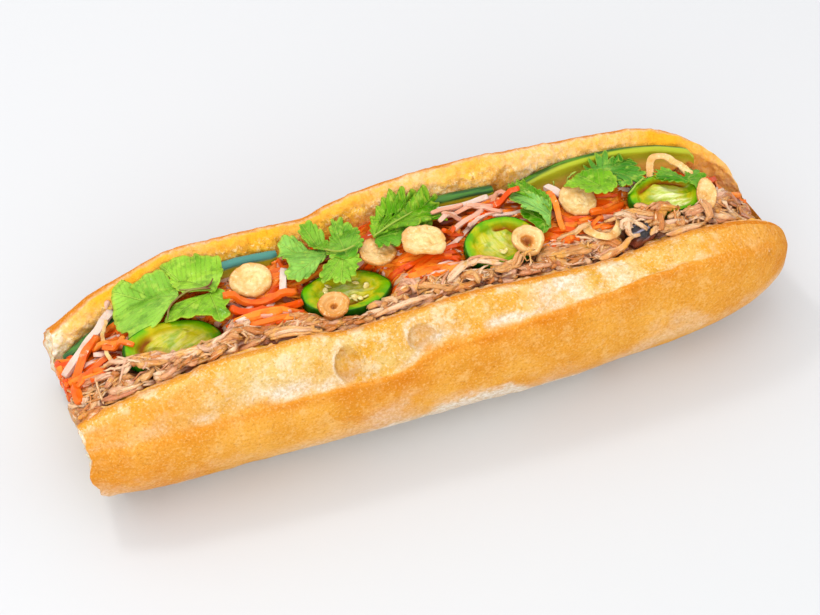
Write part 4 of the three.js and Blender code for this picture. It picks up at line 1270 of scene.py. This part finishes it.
def make_filling(pile):
    """The heap: a packed core, strips dropped in rounds, and strips laid over the toppings."""
    roll = np.random.default_rng(5)
    meat, carrot, radish = Shape(), Shape(), Shape()
    add_core(pile, meat, front=True)
    add_core(pile, carrot, front=False)
    scatter(pile, meat, BASE, roll, 460)
    for _ in range(ROUNDS):
        for shape, rule, count in ((carrot, CARROT, 137), (radish, RADISH, 36), (meat, SHRED, 45),
                                   (meat, FLAKE, 60)):
            scatter(pile, shape, rule, roll, count)
    for rule in (BASE, SHRED, FLAKE):
        scatter(pile, meat, rule, roll, 110, TIP_SPAN)
    scatter(pile, meat, FIBRE, roll, 700)
    for shape, rule, shares, count in ((meat, BASE, (0.02, 0.4), 60),
                                       (carrot, CARROT, (0.4, 0.95), 64),
                                       (radish, RADISH, (0.45, 0.95), 20)):
        add_cut_ends(shape, rule, roll, shares, count)
    cover_toppings(pile, meat, roll)
    for shape, rule, strips in ((carrot, CARROT, OVER_CARROT), (radish, RADISH, OVER_RADISH),
                                (meat, SHRED, OVER_MEAT)):
        for width, tone, *places in strips:
            kind = rule if "fibre" not in rule or width > 1.35 else FIBRE
            line = flow(places, max(10, 5 * len(places)))
            put_strip(pile, shape, kind, roll, line, width, covering=True, tone=tone)
    for shape in (meat, carrot, radish):
        # The depth below the pile's top becomes painted shade, which fades out at the lit open end.
        buried = [pile.depth(points) for points in shape.points]
        shape.values["deep"] = [deep * smooth(*LIT_END, points[:, 0])
                                for points, deep in zip(shape.points, buried)]
        shape.keep([deep.min() < 1 or points[:, 0].min() < SEEN_END
                    for points, deep in zip(shape.points, buried)])
    meat.piece("meat_shreds", meat_look(), "meat", "pulled_meat")
    # The third colour of each pickle look is the painted shade between strips and on the core.
    carrot.piece("carrot_strips", pickle_look("carrot", "f08624", "dc4c06", "6e1a04",
                                              0.08), "pickle", "pickled_carrot")
    radish.piece("radish_strips", pickle_look("daikon", "e8c6b2", "dc9a7a", "8a4a38",
                                              0.2), "daikon")


# ---------------------------------------------------------------- chilli slices

# A slice's wall, how pale its middle is, where its ribs have come away (angle, reach, depth) with
# a painted shadow in that gap, and which way its flesh is streaked.
CHILLIES = [
    dict(x=-89.4, y=-8.4, lift=-2.6, long=32, wide=17.5, thick=4.5, yaw=-3, pitch=16, roll=3,
         seeds=0, wall=0.68, pale=0.3, gap=(165, 34, 1.8), streak=35),
    dict(x=-31.4, y=-8, lift=-1.6, long=30, wide=18.5, thick=4, yaw=-4, pitch=-3, roll=2, seeds=12,
         wall=0.6, pale=0.5, gap=(250, 40, 1.2), streak=10),
    dict(x=22, y=-7.4, lift=-1.2, long=25, wide=19, thick=5, yaw=4, pitch=8, roll=-3, seeds=2,
         wall=0.68, pale=0.35, gap=(55, 30, 1.6), streak=110),
    dict(x=82.5, y=-5, lift=-0.8, long=26, wide=16.5, thick=4.5, yaw=-8, pitch=4, roll=4, seeds=0,
         wall=0.76, pale=1.5, gap=(95, 60, 0.9), streak=5),
]
CHILLI_RIBS = 3


def polar(radii, spokes):
    """A polar grid: radii by rows, angles by columns."""
    return np.meshgrid(radii, np.linspace(0, 2 * np.pi, spokes, endpoint=False), indexing="ij")


def add_round(shape, grid, **values):
    """A closed skin of rings from the top's middle to the bottom's middle."""
    rows, spokes = grid.shape[:2]
    spread = {key: np.broadcast_to(value, (rows, spokes, *np.shape(value)[2:]))
              for key, value in values.items()}
    shape.add(grid, grid_faces(rows, spokes, closed=True)[:, ::-1],
              **{key: value.reshape(rows * spokes, *value.shape[2:])
                 for key, value in spread.items()})


def add_chilli(slices, seeds, spot, seed):
    """A slice across a chilli: skin, thick wall, ribs to a pale middle, and seeds between them."""
    roll = np.random.default_rng(100 + seed)
    half = spot["thick"] / 2
    top = np.concatenate([np.linspace(0.002, 0.62, 26), np.linspace(0.64, 0.95, 16)])
    side = np.linspace(0, np.pi, 9)
    bottom = np.linspace(0.95, 0.002, 10)
    r, a = polar(np.concatenate([top, 0.95 + 0.05 * np.sin(side[1:-1]), bottom]), 120)
    level = np.concatenate([np.full(len(top), half), half * np.cos(side[1:-1]),
                            np.full(len(bottom), -half)])[:, None] + 0 * a
    upper = (np.arange(len(r)) < len(top))[:, None]
    first = roll.uniform(0, 2 * np.pi)
    turn = (a - first + 0.25 * np.sin(5 * r)) * CHILLI_RIBS / (2 * np.pi)
    beside = np.abs(turn - np.round(turn)) * 2 * np.pi / CHILLI_RIBS * r * spot["long"] / 2
    rib = bump(beside, 0, 1.2) * smooth(0.75, 0.6, r)
    inside = smooth(spot["wall"] + 0.06, spot["wall"] - 0.06, r + 0.03 * np.sin(4 * a + first))
    facing, reach, deep = spot["gap"]
    off = np.abs(np.angle(np.exp(1j * (a - math.radians(facing)))))
    # Painted shadow goes in the gap where the ribs have come away from the wall.
    gap = bump(r, spot["wall"] - 0.07, 0.08) * smooth(1.3, 0.8, off / math.radians(reach)) * upper
    cells = inside * (1 - rib) * smooth(0.1, 0.35, r)
    outline = 1 + 0.015 * np.cos(3 * a + first) + 0.01 * np.cos(7 * a)
    drop = 0.5 * inside + 0.9 * cells + deep * gap + 0.3 * (1 - inside) * ((r - 0.84) / 0.12) ** 2
    grid = np.stack([r * outline * np.cos(a) * spot["long"] / 2,
                     r * outline * np.sin(a) * spot["wide"] / 2, level - upper * drop], -1)
    grid[..., 2] += (0.14 * noise(grid, 1.6, seed) * (r < 0.97)
                     + 0.3 * noise(grid * [1, 1, 0], 9, seed))
    grid[..., 2] += 0.4 * layered(grid, 3, seed) * inside * upper
    skin = np.maximum(smooth(0.93, 0.965, r + 0.006 * np.sin(9 * a)), ~upper & (r > 0.955))
    turned_to = math.radians(spot["streak"]) - 0.5 * np.sin(a) * r
    ray = np.stack([grid[..., 0] * np.cos(turned_to) + grid[..., 1] * np.sin(turned_to),
                    grid[..., 1] * np.cos(turned_to) - grid[..., 0] * np.sin(turned_to), 0 * r], -1)
    pale = smooth(0.75, 0.25, r + 0.3 * noise(ray * [0.15, 1, 1], 1.6, seed)) * inside
    add_round(slices, placed(grid, spot), skin=skin,
              inner=smooth(0.92, 0.6, r), membrane=np.clip(pale * spot["pale"], 0, 1) * (1 - skin),
              gap=0.9 * gap, ray=ray)
    for _ in range(spot["seeds"]):
        between = roll.integers(CHILLI_RIBS) + roll.uniform(0.22, 0.78)
        angle = first + between * 2 * np.pi / CHILLI_RIBS
        reach = roll.uniform(0.36, 0.6)
        place = [reach * math.cos(angle) * spot["long"] / 2,
                 reach * math.sin(angle) * spot["wide"] / 2, half - 0.55]
        add_seed(seeds, spot, place, roll)


def add_seed(seeds, spot, place, roll):
    """A flat round chilli seed with a small beak."""
    r, a = polar(np.linspace(0.02, 1, 5), 12)
    dome = np.sqrt(1 - r**2)
    reach = r * (1 + 0.22 * bump(a, np.pi, 0.5))
    half = [np.stack([reach * np.cos(a) * 1.15, reach * np.sin(a), s * dome * 0.38], -1)
            for s in (1, -1)]
    grid = np.concatenate([half[0], half[1][::-1][1:]])
    tilt = turned(roll.normal(0, 25), roll.normal(0, 25), roll.uniform(0, 360))
    add_round(seeds, placed(grid @ tilt.T + place, spot), tone=roll.uniform(0, 1))


def make_chillies():
    seeds = Shape()
    for i, spot in enumerate(CHILLIES):
        slices = Shape()
        add_chilli(slices, seeds, spot, i)
        slices.piece(f"chilli_slice_{i + 1}", chilli_finish, "chilli", f"jalapeno_{i + 1}")
        toppings.append(slices)
    seeds.piece("chilli_seeds", seed_look(), "chilli")


# ---------------------------------------------------------------- fried garlic and shallot

FRIED = [
    dict(x=-58.6, y=6.5, lift=1.4, long=13.4, wide=13.4, thick=2, yaw=10, pitch=4, roll=-6,
         brown=0.05),
    dict(x=-38, y=-15.6, lift=3.8, long=10.4, wide=9.6, thick=2.2, hole=1.1, yaw=20, pitch=12,
         roll=-4, brown=0.75),
    dict(x=-17.5, y=1, lift=1.8, long=14, wide=12.5, thick=2, yaw=40, pitch=4, roll=10, brown=0.4),
    dict(x=-2.5, y=-2, lift=3, long=15.6, wide=14.4, thick=2.2, yaw=-14, pitch=-2, roll=8, brown=0,
         corners=0.06),
    dict(x=29.5, y=-12, lift=3.8, long=11, wide=11, thick=3.4, hole=3, yaw=0, pitch=20, roll=4,
         brown=0.15),
    dict(x=53.5, y=1.5, lift=2, long=13.2, wide=13, thick=2.2, yaw=-20, pitch=8, roll=8,
         brown=0.05),
    dict(x=94.8, y=-10.9, lift=3.2, long=12.5, wide=7, thick=2.2, yaw=69, pitch=8, roll=-16,
         brown=0.35),
]


def add_fried(shape, spot, seed):
    """A fried slice: a cupped, blistered disc with a toasted edge, holed if its core fell out."""
    half = spot["thick"] / 2
    hole = spot.get("hole", 0) / spot["long"]
    top = np.linspace(0.005, 0.93, 26)
    side = np.linspace(0, np.pi, 7)[1:-1]
    bottom = np.linspace(0.93, 0.005, 8)
    r, a = polar(np.concatenate([top, 0.93 + 0.07 * np.sin(side), bottom]), 72)
    level = 0.48 * np.concatenate([np.ones(len(top)), np.cos(side), -np.ones(len(bottom))])
    level = level[:, None] + 0 * a
    around = np.stack([np.cos(a), np.sin(a), 0 * a], -1)
    outline = 1 + 0.08 * noise(around * 1.4 + seed, 1, seed) + 0.04 * noise(around * 5, 1, seed)
    outline = outline - spot.get("corners", 0) * np.cos(4 * a)
    flat = np.stack([r * outline * np.cos(a) * spot["long"] / 2,
                     r * outline * np.sin(a) * spot["wide"] / 2], -1)
    wave = 0.16 * half * np.sin(2 * a + seed) + 0.75 * half * (r**2 - 0.4)
    core = smooth(hole + 0.16, 0.6 * hole, r) * (hole > 0)
    rings = 0.06 * np.cos(r * 24 + 2 * np.sin(a))
    rings += (hole > 0) * (0.12 * np.cos(r * 26 + 2 * np.sin(a)) + 0.9 * bump(r, 0.75, 0.2))
    rings -= 1.1 * core
    ridge = 0.22 * bump(r, 0.86, 0.07)
    z = level * (0.75 + 0.3 * r) + wave + (level > 0) * (rings + ridge)
    grid = np.concatenate([flat, z[..., None]], -1)
    grid[..., 2] += 0.2 * noise(grid, 1.4, seed + 3) + 0.3 * noise(grid, 4, seed + 4)
    toast = layered(grid, 6, seed + 5)
    brown = spot["brown"] + 0.5 * toast + 0.5 * smooth(0.78, 1, r)
    # Painted shade: browner and darker round the hole and at its bottom.
    brown = np.clip(brown + 1.1 * smooth(hole + 0.25, hole, r) * (hole > 0), 0, 1)
    dark = smooth(0.92, 1.0, r + 0.06 * toast) * 0.8 * (0.3 + spot["brown"])
    dark = np.maximum(dark, smooth(hole + 0.1, 0.7 * hole, r) * (hole > 0))
    dark = np.maximum(dark, core * (level > 0))
    ring = np.clip(0.5 + 0.5 * np.cos(r * 22 + 2 * np.sin(a) + toast), 0, 1) * smooth(0.1, 0.3, r)
    add_round(shape, placed(grid, spot), brown=brown, dark=dark,
              ring=ring)


CURLS = [
    dict(wide=1.3, thick=0.9, path=((-104.8, 14.8, 3.6), (-107.6, 8.5, 3.4), (-108.7, 1.3, 3),
                                    (-108.7, -5.2, 3), (-107.9, -8.5, 3), (-106.1, -8, 3))),
    dict(wide=2.5, thick=0.9, path=((80.8, 3.2, 2), (82.6, 7.4, 3.5), (86.1, 11.6, 5),
                                  (89, 11.1, 5.5), (91.3, 9.7, 5), (93, 5.9, 4.5), (93.8, 2, 4),
                                  (94.8, -0.8, 3.5))),
    dict(wide=3, thick=1.2, path=((51.5, -9, 2.4), (52, -12, 2.6), (53.9, -14.4, 2.8),
                                  (56.5, -15.7, 3), (59.7, -15.2, 3), (62.2, -13, 2.6),
                                  (63.4, -11, 2.2))),
]
DAIKON = [
    dict(wide=2.9, thick=1.6, path=((-102, 19, 4.6), (-105.4, 15.8, 4.2), (-108.8, 11.2, 3.4),
                                    (-112, 9, 3), (-116.4, 4.6, 2.8), (-119.8, 2.2, 2.4),
                                    (-123.1, 0, 1.6))),
    dict(wide=2.3, thick=1.4, path=((-47, 8, 1.8), (-49, 2, 1.9), (-51, -4, 1.6))),
    dict(wide=2.0, thick=1.2, path=((8, 13, 1.6), (16, 11, 2.2), (26, 13, 1.8))),
    dict(wide=2.6, thick=1.5, path=((46.5, 12, 2), (48, 8.5, 2.4), (49.5, 5, 2.4))),
]


def lifted(path):
    return [(x, y, fill_top(x, y) + lift) for x, y, lift in path]


def make_fried():
    for i, spot in enumerate(FRIED):
        shape = Shape()
        add_fried(shape, spot, i * 3 + 1)
        shape.piece(f"fried_disc_{i + 1}", fried_finish, "fried", f"fried_slice_{i + 1}")
        toppings.append(shape)
    for i, spot in enumerate(CURLS):
        shape = Shape()
        path = flow(lifted(spot["path"]), 48)
        path += 0.45 * np.stack([noise(path, 2.2, 94 + k) for k in range(3)], -1)
        ragged = np.repeat(noise(path, 2.5, 90 + i), 12)
        add_strip(shape, path, spot["wide"], spot["thick"], i, 12, 0.9, 0.2, 0.42, 0.3, 0.3,
                  brown=np.clip(0.3 + 0.6 * ragged, 0, 1), dark=np.clip(0.9 * ragged - 0.4, 0, 1),
                  ring=0)
        shape.piece(f"shallot_curl_{i + 1}", fried_finish, "fried", f"fried_shallot_{i + 1}")
        toppings.append(shape)


def make_daikon():
    look = pickle_look("daikon_strip", "ddc8b8", "d2ae98", "b48c7c", 0.25)
    for i, spot in enumerate(DAIKON):
        shape = Shape()
        add_strip(shape, flow(lifted(spot["path"]), 26), spot["wide"], spot["thick"], i + 5, 8, 0.5,
                  0.1, 0.05, 0.8, 0.8, tone=0.3, sauce=0, deep=0)
        shape.piece(f"daikon_strip_{i + 1}", look, "daikon", f"daikon_{i + 1}")
        toppings.append(shape)


# ---------------------------------------------------------------- cilantro

# A leaflet: its lift, how pale and how blue it is, the size and depth of its teeth, where its veins
# meet, and the X and Y of each point round its margin.
LEAVES = [
    [(4.2, 0.75, 0.35, 4.5, 0.5, (-82.6, 6.1),
      (-101.5, 19.1, -100.7, 22.5, -98.8, 23.6, -96.6, 24, -95.8, 22.5, -95.8, 20.9, -93.7, 20.5,
      -89.9, 21.6, -87.2, 21.4, -83.6, 19.8, -82.5, 16.2, -82.2, 8, -84.1, 5.5, -86.2, 4.2,
      -88.6, 1.5, -89.9, -0.8, -92.6, -1.9, -94.6, -1.9, -96.4, -1.1, -98.5, -2.7, -100, -2.1,
      -101.1, -0.1, -100.9, 2, -102.5, 3.5, -103.3, 7.1, -103, 11.6, -102.3, 16.4))],
    [(4.8, 0.85, 0.15, 4, 0.45, (-72.4, 2.4),
      (-84.1, 22.4, -80, 22.3, -77, 22.2, -74.1, 20.8, -72.2, 21.5, -70.9, 20.6, -67.9, 19.4,
      -65.2, 18.5, -65.3, 16.5, -65.9, 12.2, -67.8, 7.9, -69.9, 4.3, -71.3, 2.4, -73.1, 2.4,
      -73.8, 4.6, -75.6, 5.2, -77.8, 4.2, -80.4, 5.5, -81.9, 8.8, -82.6, 15.1, -82.7, 16.8,
      -81.5, 18.1, -83, 19.6, -84.2, 21.2))],
    [(3.4, 0.55, 0.1, 4.5, 0.5, (-73, 2.8),
      (-76.7, 1.6, -79.4, 2.4, -83.2, 4.1, -85.8, 3.3, -87.7, 1.3, -89.1, -1.4, -87.5, -2.6,
      -85.1, -3.2, -82.6, -5.3, -79.7, -6.3, -76.1, -7.8, -74.7, -10, -71.6, -10, -69.9, -8.7,
      -70.6, -5.7, -68.3, -3.7, -68.2, -1.1, -69, 2.7, -70.5, 4.6, -72.7, 4))],
    [(4.5, 0.7, 0.65, 3.6, 1.0, (-32.6, 8.3),
      (-45.6, 16.7, -45.1, 18.9, -42.3, 20.1, -39.7, 18.8, -37.9, 17, -36.6, 15, -34, 13.4,
      -31.7, 10, -33.4, 6.1, -37, 4.6, -39.3, 0.6, -42.4, -1.1, -45, -1.2, -47.1, 0.3, -48, 2.8,
      -45.3, 7.1, -46, 11.4, -46.4, 15.4))],
    [(5, 0.3, 0.3, 3, 1.1, (-31.6, 9.4),
      (-36.4, 21.7, -34, 22, -31.9, 19.6, -30.6, 17.2, -30.1, 13.6, -31.6, 9.4, -33.5, 10.8,
      -35.4, 13.4, -36.3, 16.7, -37.1, 18.2, -37.5, 20.1))],
    [(5.5, 0.35, 0.35, 3, 1.3, (-27.5, 1.3),
      (-31.9, 7, -31.2, 11.3, -29.6, 14.2, -27.6, 15.7, -27.5, 18.2, -26.5, 19.7, -24.7, 19.6,
      -23.3, 19, -22.1, 17.3, -20.4, 16, -19.8, 13.1, -21, 8.3, -21, 4.4, -23.1, 2.1, -25.2, 0.2,
      -28.3, 0.8))],
    [(4.8, 0.55, 0.2, 2.8, 1.3, (-27.9, 3.6),
      (-32, 7.3, -32.3, 3.4, -35, 1.5, -37.8, -2.8, -37.3, -5.2, -35, -4.4, -34.1, -6.7, -32, -7.9,
      -29.4, -7.9, -27.1, -6.2, -25.6, -3.8, -23.7, -1.4, -24.8, 1.3))],
    [(4.5, 0.15, 0.0, 3.5, 3.8, (-16.7, 5.6),
      (-16.7, 6.8, -15.1, 10.8, -12.4, 15.6, -10.3, 17.4, -8.1, 19, -6, 20.5, -3.9, 21.3,
      -1.5, 21.6, 0.3, 20.3, 2.5, 20.2, 1.6, 17.9, 0, 16, -2.4, 13.4, -6.9, 9.8, -12, 7.3)),
     (5, 0.1, 0.0, 3.3, 3.8, (-13.4, 7),
      (-12.5, 7.6, -7.2, 10.6, -2.4, 14.1, 0.5, 16.2, 2.9, 17.1, 5.5, 18.8, 7.4, 18.7, 8.9, 17.7,
      8.3, 15.8, 9.7, 13.2, 8.9, 8.1, 6.1, 5.5, 4, 7.1, 0.6, 5.7, -3.2, 6.5, -7.3, 6.8)),
     (4, 0.25, 0.4, 3.2, 3.2, (-16.1, 5.5),
      (-13.9, 7.7, -9.4, 8.5, -5.4, 8.1, -1.6, 7.3, 2.5, 7, 3.7, 3.9, 1.1, 1.5, -1.3, 3, -3.6, 1.1,
      -7, -0.1, -10.1, -0.1, -13.3, 0.8, -16, 1, -16.9, 3.7))],
    [(5.5, 0.15, 0.2, 2, 0.9, (41.5, -1.9),
      (37.1, 15.4, 39.9, 15.4, 40.1, 12.1, 40.7, 7.7, 42.2, 5.5, 43.1, 2.6, 42.5, -1.7, 41, -4.5,
      40, -0.9, 39.2, 1.5, 37, 4.2, 35.3, 7.5, 32.8, 9.6, 33.6, 13.8)),
     (5.2, 0.7, 0.9, 1.8, 0.9, (40.4, -5),
      (32.6, 9.4, 35.4, 9.1, 37.9, 6.3, 39.8, 2.9, 41.6, 0.6, 41.6, -3, 40.4, -6.2, 38.9, -8.8,
      38.3, -6.6, 37.2, -3.4, 35.6, -1.2, 32.8, -0.5, 32.6, 2.6, 31, 4.7)),
     (3.6, 0, 0.35, 2.4, 0.3, (38.4, -6.1),
      (33.4, 2.3, 37, 1.8, 38.6, -0.2, 39.3, -4.4, 39.8, -7.5, 36.6, -9.4, 35.1, -7, 33.3, -3.8,
      32.4, -0.8))],
    [(4.2, 0.2, 0.75, 3, 2.6, (66.7, 11.2),
      (61.2, 13.9, 64.1, 16.1, 67.2, 17.2, 69.7, 18.1, 71.6, 17.1, 73.5, 15.3, 75.9, 15.9,
      78, 15.4, 78.2, 9.7, 78.6, 4.5, 75.8, 1, 73.5, 1.6, 70.6, 0, 69.2, 1.6, 68.2, 5, 65.7, 7.5,
      63.5, 9.9))],
    [(4.8, 0.3, 0, 3.0, 0.7, (62, 2.7),
      (51, 6.9, 54.6, 9.6, 57.7, 12.4, 61.1, 12.4, 64.8, 10.1, 67.6, 7.2, 68, 3.5, 66.2, -0.4,
      62.9, -1.7, 58.4, -0.6, 55.7, 1.2, 54.8, 3.7, 52.8, 5.2))],
    [(4.2, 0.1, 0.4, 2.5, 1.9, (89.6, -2.6),
      (81.7, 2.1, 83.8, 5.2, 86.2, 6.5, 87.8, 4, 89.5, 1, 91.5, -1.9, 91.6, -5.2, 88.6, -4,
      86.4, -2.8, 83.5, -1.4, 81.2, -0.1)),
     (4, 0.05, 0.3, 2.5, 1.9, (91.6, -3.2),
      (91.4, -2.1, 94.9, 2.4, 96.9, 2.7, 97.9, 0.1, 98.8, -3.2, 96.2, -6.1, 93.1, -7.6,
      91.4, -5.8))],
]
LEAF_HALF = 0.13
LEAF_SPOKES = 170


def climb(y):
    """How far a leaf is pushed up where it leans on the back wall."""
    return 1.2 * np.maximum(0, y - 15)


def add_leaflet(shape, leaflet, seed):
    """A thin leaflet of rays from where its veins meet out to a margin of rounded teeth."""
    lift, pale, blue, tooth, depth, root, margin = leaflet
    spokes, root = LEAF_SPOKES, np.array(root)
    line = flow(np.reshape(margin * 3, (-1, 2)), 3 * spokes)[spokes:2 * spokes]
    step = np.roll(line, -1, 0) - np.roll(line, 1, 0)
    outward = np.stack([step[:, 1], -step[:, 0]], 1) / np.linalg.norm(step, axis=1, keepdims=True)
    area = (line[:, 0] * np.roll(line[:, 1], -1) - line[:, 1] * np.roll(line[:, 0], -1)).sum()
    walked = np.cumsum(np.linalg.norm(step, axis=1) / 2)
    teeth = max(3, round(walked[-1] / tooth))
    phase = walked / walked[-1] * teeth * np.pi + 0.9 * noise(line, 5, seed)
    notch = np.abs(np.sin(phase)) ** (1.1 if depth > 1.2 else 0.6) - 0.6
    reach = np.linalg.norm(line - root, axis=1)
    notch = notch * depth * (1 + 0.5 * noise(line, 3, seed + 1)) * smooth(2, 5, reach)
    line = line + outward * np.sign(area) * notch[:, None]
    v = np.linspace(0.02, 1, 24)[:, None, None]
    flat = root + (line - root) * v
    v = v[..., 0]
    spread = np.r_[reach, reach, reach]
    spread = eased(spread, 6)[spokes:2 * spokes]
    tips = [k for k in range(spokes)
            if spread[k] >= np.take(spread, range(k - 9, k + 10), mode="wrap").max() - 1e-9]
    angle = np.arctan2(*(line - root).T[::-1])
    off = np.abs(np.angle(np.exp(1j * (angle[:, None] - angle[tips]))))
    aside = np.minimum(off.min(1), 1.2) * reach
    x, y = flat[..., 0], flat[..., 1]
    far = np.linalg.norm(flat - root, axis=-1)
    z = fill_top(x, y) + climb(y) + lift - 0.005 * far**2
    z = z + v * (1.0 * noise(flat, 9, seed + 2) + 0.55 * noise(flat, 4, seed + 3))
    z = z + 0.16 * np.minimum(aside, 4) * v + 0.35 * np.sin(2 * phase) * v**5 * min(1, depth)
    sheet = np.stack([x, y, z], -1)
    normal = normals_of(sheet, closed=True)
    normal *= np.sign(normal[..., 2:])
    under = np.r_[len(sheet) - 1:0:-3, 0]
    grid = np.concatenate([sheet + LEAF_HALF * normal, (sheet - LEAF_HALF * normal)[under]])
    vein = np.stack([far, aside * v, 0 * far], -1)
    tint = pale + 0.5 * layered(flat, 7, seed + 4)
    shape.add(grid, grid_faces(*grid.shape[:2], closed=True)[:, ::-1],
              lobe=np.concatenate([vein, vein[under]]).reshape(-1, 3),
              pale=np.concatenate([tint, tint[under]]).ravel(), blue=blue,
              rim=np.concatenate([v + 0 * x, (v + 0 * x)[under]]).ravel())


def make_leaves():
    for i, leaflets in enumerate(LEAVES):
        shape = Shape()
        for k, leaflet in enumerate(leaflets):
            add_leaflet(shape, leaflet, 300 + 7 * i + 31 * k)
        shape.piece(f"leaf_{i + 1}", leaf_finish, "leaf", f"cilantro_{i + 1}")
        toppings.append(shape)


# Stems where leaves join, brown along a dried edge and as painted shadow in a gap between lobes:
# width, how brown they are, and places seen from above.
STEMS = [
    (0.7, 1, (-88.6, -2.5), (-86.3, 2.2), (-82, 4.6), (-76, 4.2), (-72.6, 3)),
    (0.6, 1, (-82, 6.6), (-78, 4.8), (-73, 4.5), (-70.5, 7.5)),
    (0.7, 0.2, (-33, 8.3), (-28, 3.5), (-24, 3)),
    (0.6, 0, (-17, 5.5), (-10, 8), (-1, 12)),
    (0.7, 0, (49.4, 12.2), (52.1, 12.5), (58, 13)),
    (0.7, 0, (70.1, -2.3), (73.9, -0.5), (77.4, 1.5)),
]


def make_stems(pile):
    shape = Shape()
    for i, (width, dry, *places) in enumerate(STEMS):
        line = flow(places, 16)
        z, _ = pile.lay(line, width, width, 3, covering=True)
        path = np.concatenate([line, z[:, None]], 1)
        add_strip(shape, path, width, width, i, 8, 0, 0, 0.15, 0, 0.5, dry=dry)
    shape.piece("leaf_stems", stem_look(), "leaf")


# ---------------------------------------------------------------- cucumber

def make_cucumbers():
    """Long slices standing against the back wall with their skin edge up."""
    for i, slab in enumerate(CUCUMBERS):
        top = curve(*slab["top"])
        start, end = slab["top"][0][0], slab["top"][-1][0]
        half = slab["thick"] / 2
        t = (1 - np.cos(np.linspace(0, np.pi, 70))) / 2
        x = lerp(start, end, t)[:, None]
        pointed = 1 - 0.75 * (slab["drop"] > 0) * smooth(0.64, 0.98, t)
        depth = slab["depth"] * (pointed * np.sqrt(np.maximum(1 - (2 * t - 1) ** 6, 0.12)))[:, None]
        arc = np.linspace(0, np.pi, 9)
        face = np.linspace(1, 0, 24)
        side = np.concatenate([np.full(24, -half), -half * np.cos(arc[1:-1]), np.full(24, half)])
        down = np.concatenate([face, 0 * arc[1:-1], face[::-1]])
        raised = np.concatenate([0 * face, np.sin(arc[1:-1]), 0 * face])
        z = top(x) - 1 - slab["drop"] * smooth(0.96, 1, t)[:, None] ** 2 + raised - depth * down
        y = back_wall_y(x, z) - slab["inset"] - half + side * (1 - 0.25 * bump(t, 0, 0.04)[:, None]
                                                              - 0.25 * bump(t, 1, 0.04)[:, None])
        grid = np.stack([np.broadcast_to(x, z.shape), y, z], -1)
        grid[..., 1] += 0.25 * noise(grid, 7, 70 + i) + 0.08 * noise(grid, 1.5, 71 + i)
        first, last = slab["rind"]
        over = np.concatenate([0 * face - 1, -np.cos(arc[1:-1]), 0 * face + 1])
        edge = smooth(0.1, -0.1, lerp(first, last, t)[:, None] - over)
        skin = edge * np.concatenate([face < 0.02, np.ones(7), face[::-1] < 0.02])
        # Paler lower flesh: partly its own colour, partly painted light.
        inner = smooth(1, 6, np.broadcast_to(depth * down, z.shape))
        shape = Shape()
        shape.add(grid, *tube_faces(*z.shape), skin=skin.ravel(), inner=inner.ravel(),
                  blue=slab["blue"])
        shape.piece(f"cucumber_slice_{i + 1}", cucumber_finish, "cucumber", f"cucumber_{i + 1}")


# ---------------------------------------------------------------- charred knob

CHAR = dict(x=67.5, y=-18, lift=1.6, long=9.4, wide=7.2, thick=6.5, yaw=10, pitch=10)


def make_char():
    """A charred knob of meat: a rounded block, banded with painted highlights on top, singed below.
    """
    a, b = polar(np.linspace(0.02, np.pi - 0.02, 48), 72)
    ball = np.stack([np.sin(a) * np.cos(b), np.sin(a) * np.sin(b), np.cos(a)], -1)
    boxed = ball / (np.abs(ball) ** 9).sum(-1, keepdims=True) ** (1 / 9) * 0.84
    bands = np.cos(8 * ball[..., 1] + 1.5 * noise(ball, 0.8, 84))
    swell = 1 + 0.08 * layered(ball, 0.9, 81) + 0.04 * noise(ball, 0.25, 82) + 0.03 * bands
    grid = boxed * swell[..., None] * np.array([CHAR["long"], CHAR["wide"], CHAR["thick"]]) / 2
    shape = Shape()
    low = smooth(0.25, -0.35, 0.7 * ball[..., 2] + 0.6 * ball[..., 1] + 0.3 * noise(ball, 0.5, 83))
    # Painted highlight: pale blue-white lines along the bands on top.
    glaze = smooth(0.5, 0.9, bands) * smooth(0.45, 0.8, ball[..., 2] + 0.5 * noise(ball, 0.3, 85))
    add_round(shape, placed(grid, CHAR), scorch=low,
              glaze=0.75 * glaze * (1 - low))
    shape.piece("char_knob", char_look(), "char", "charred_meat")
    toppings.append(shape)


# ---------------------------------------------------------------- assembly

def add_floor():
    half = 2.5
    corners = [(-half, -half, 0), (half, -half, 0), (half, half, 0), (-half, half, 0)]
    mesh = bpy.data.meshes.new("floor")
    mesh.from_pydata(corners, [], [(0, 1, 2, 3)])
    mesh.materials.append(floor_look())
    floor = bpy.data.objects.new("floor", mesh)
    bpy.context.scene.collection.objects.link(floor)


chilli_finish, fried_finish, leaf_finish, cucumber_finish = (
    chilli_look(), fried_look(), leaf_look(), cucumber_look())

add_studio()
add_floor()
make_bread()
make_chillies()
make_fried()
make_daikon()
make_leaves()
make_cucumbers()
make_char()
heap = Pile(sunk=5)
make_filling(heap)
make_stems(heap)
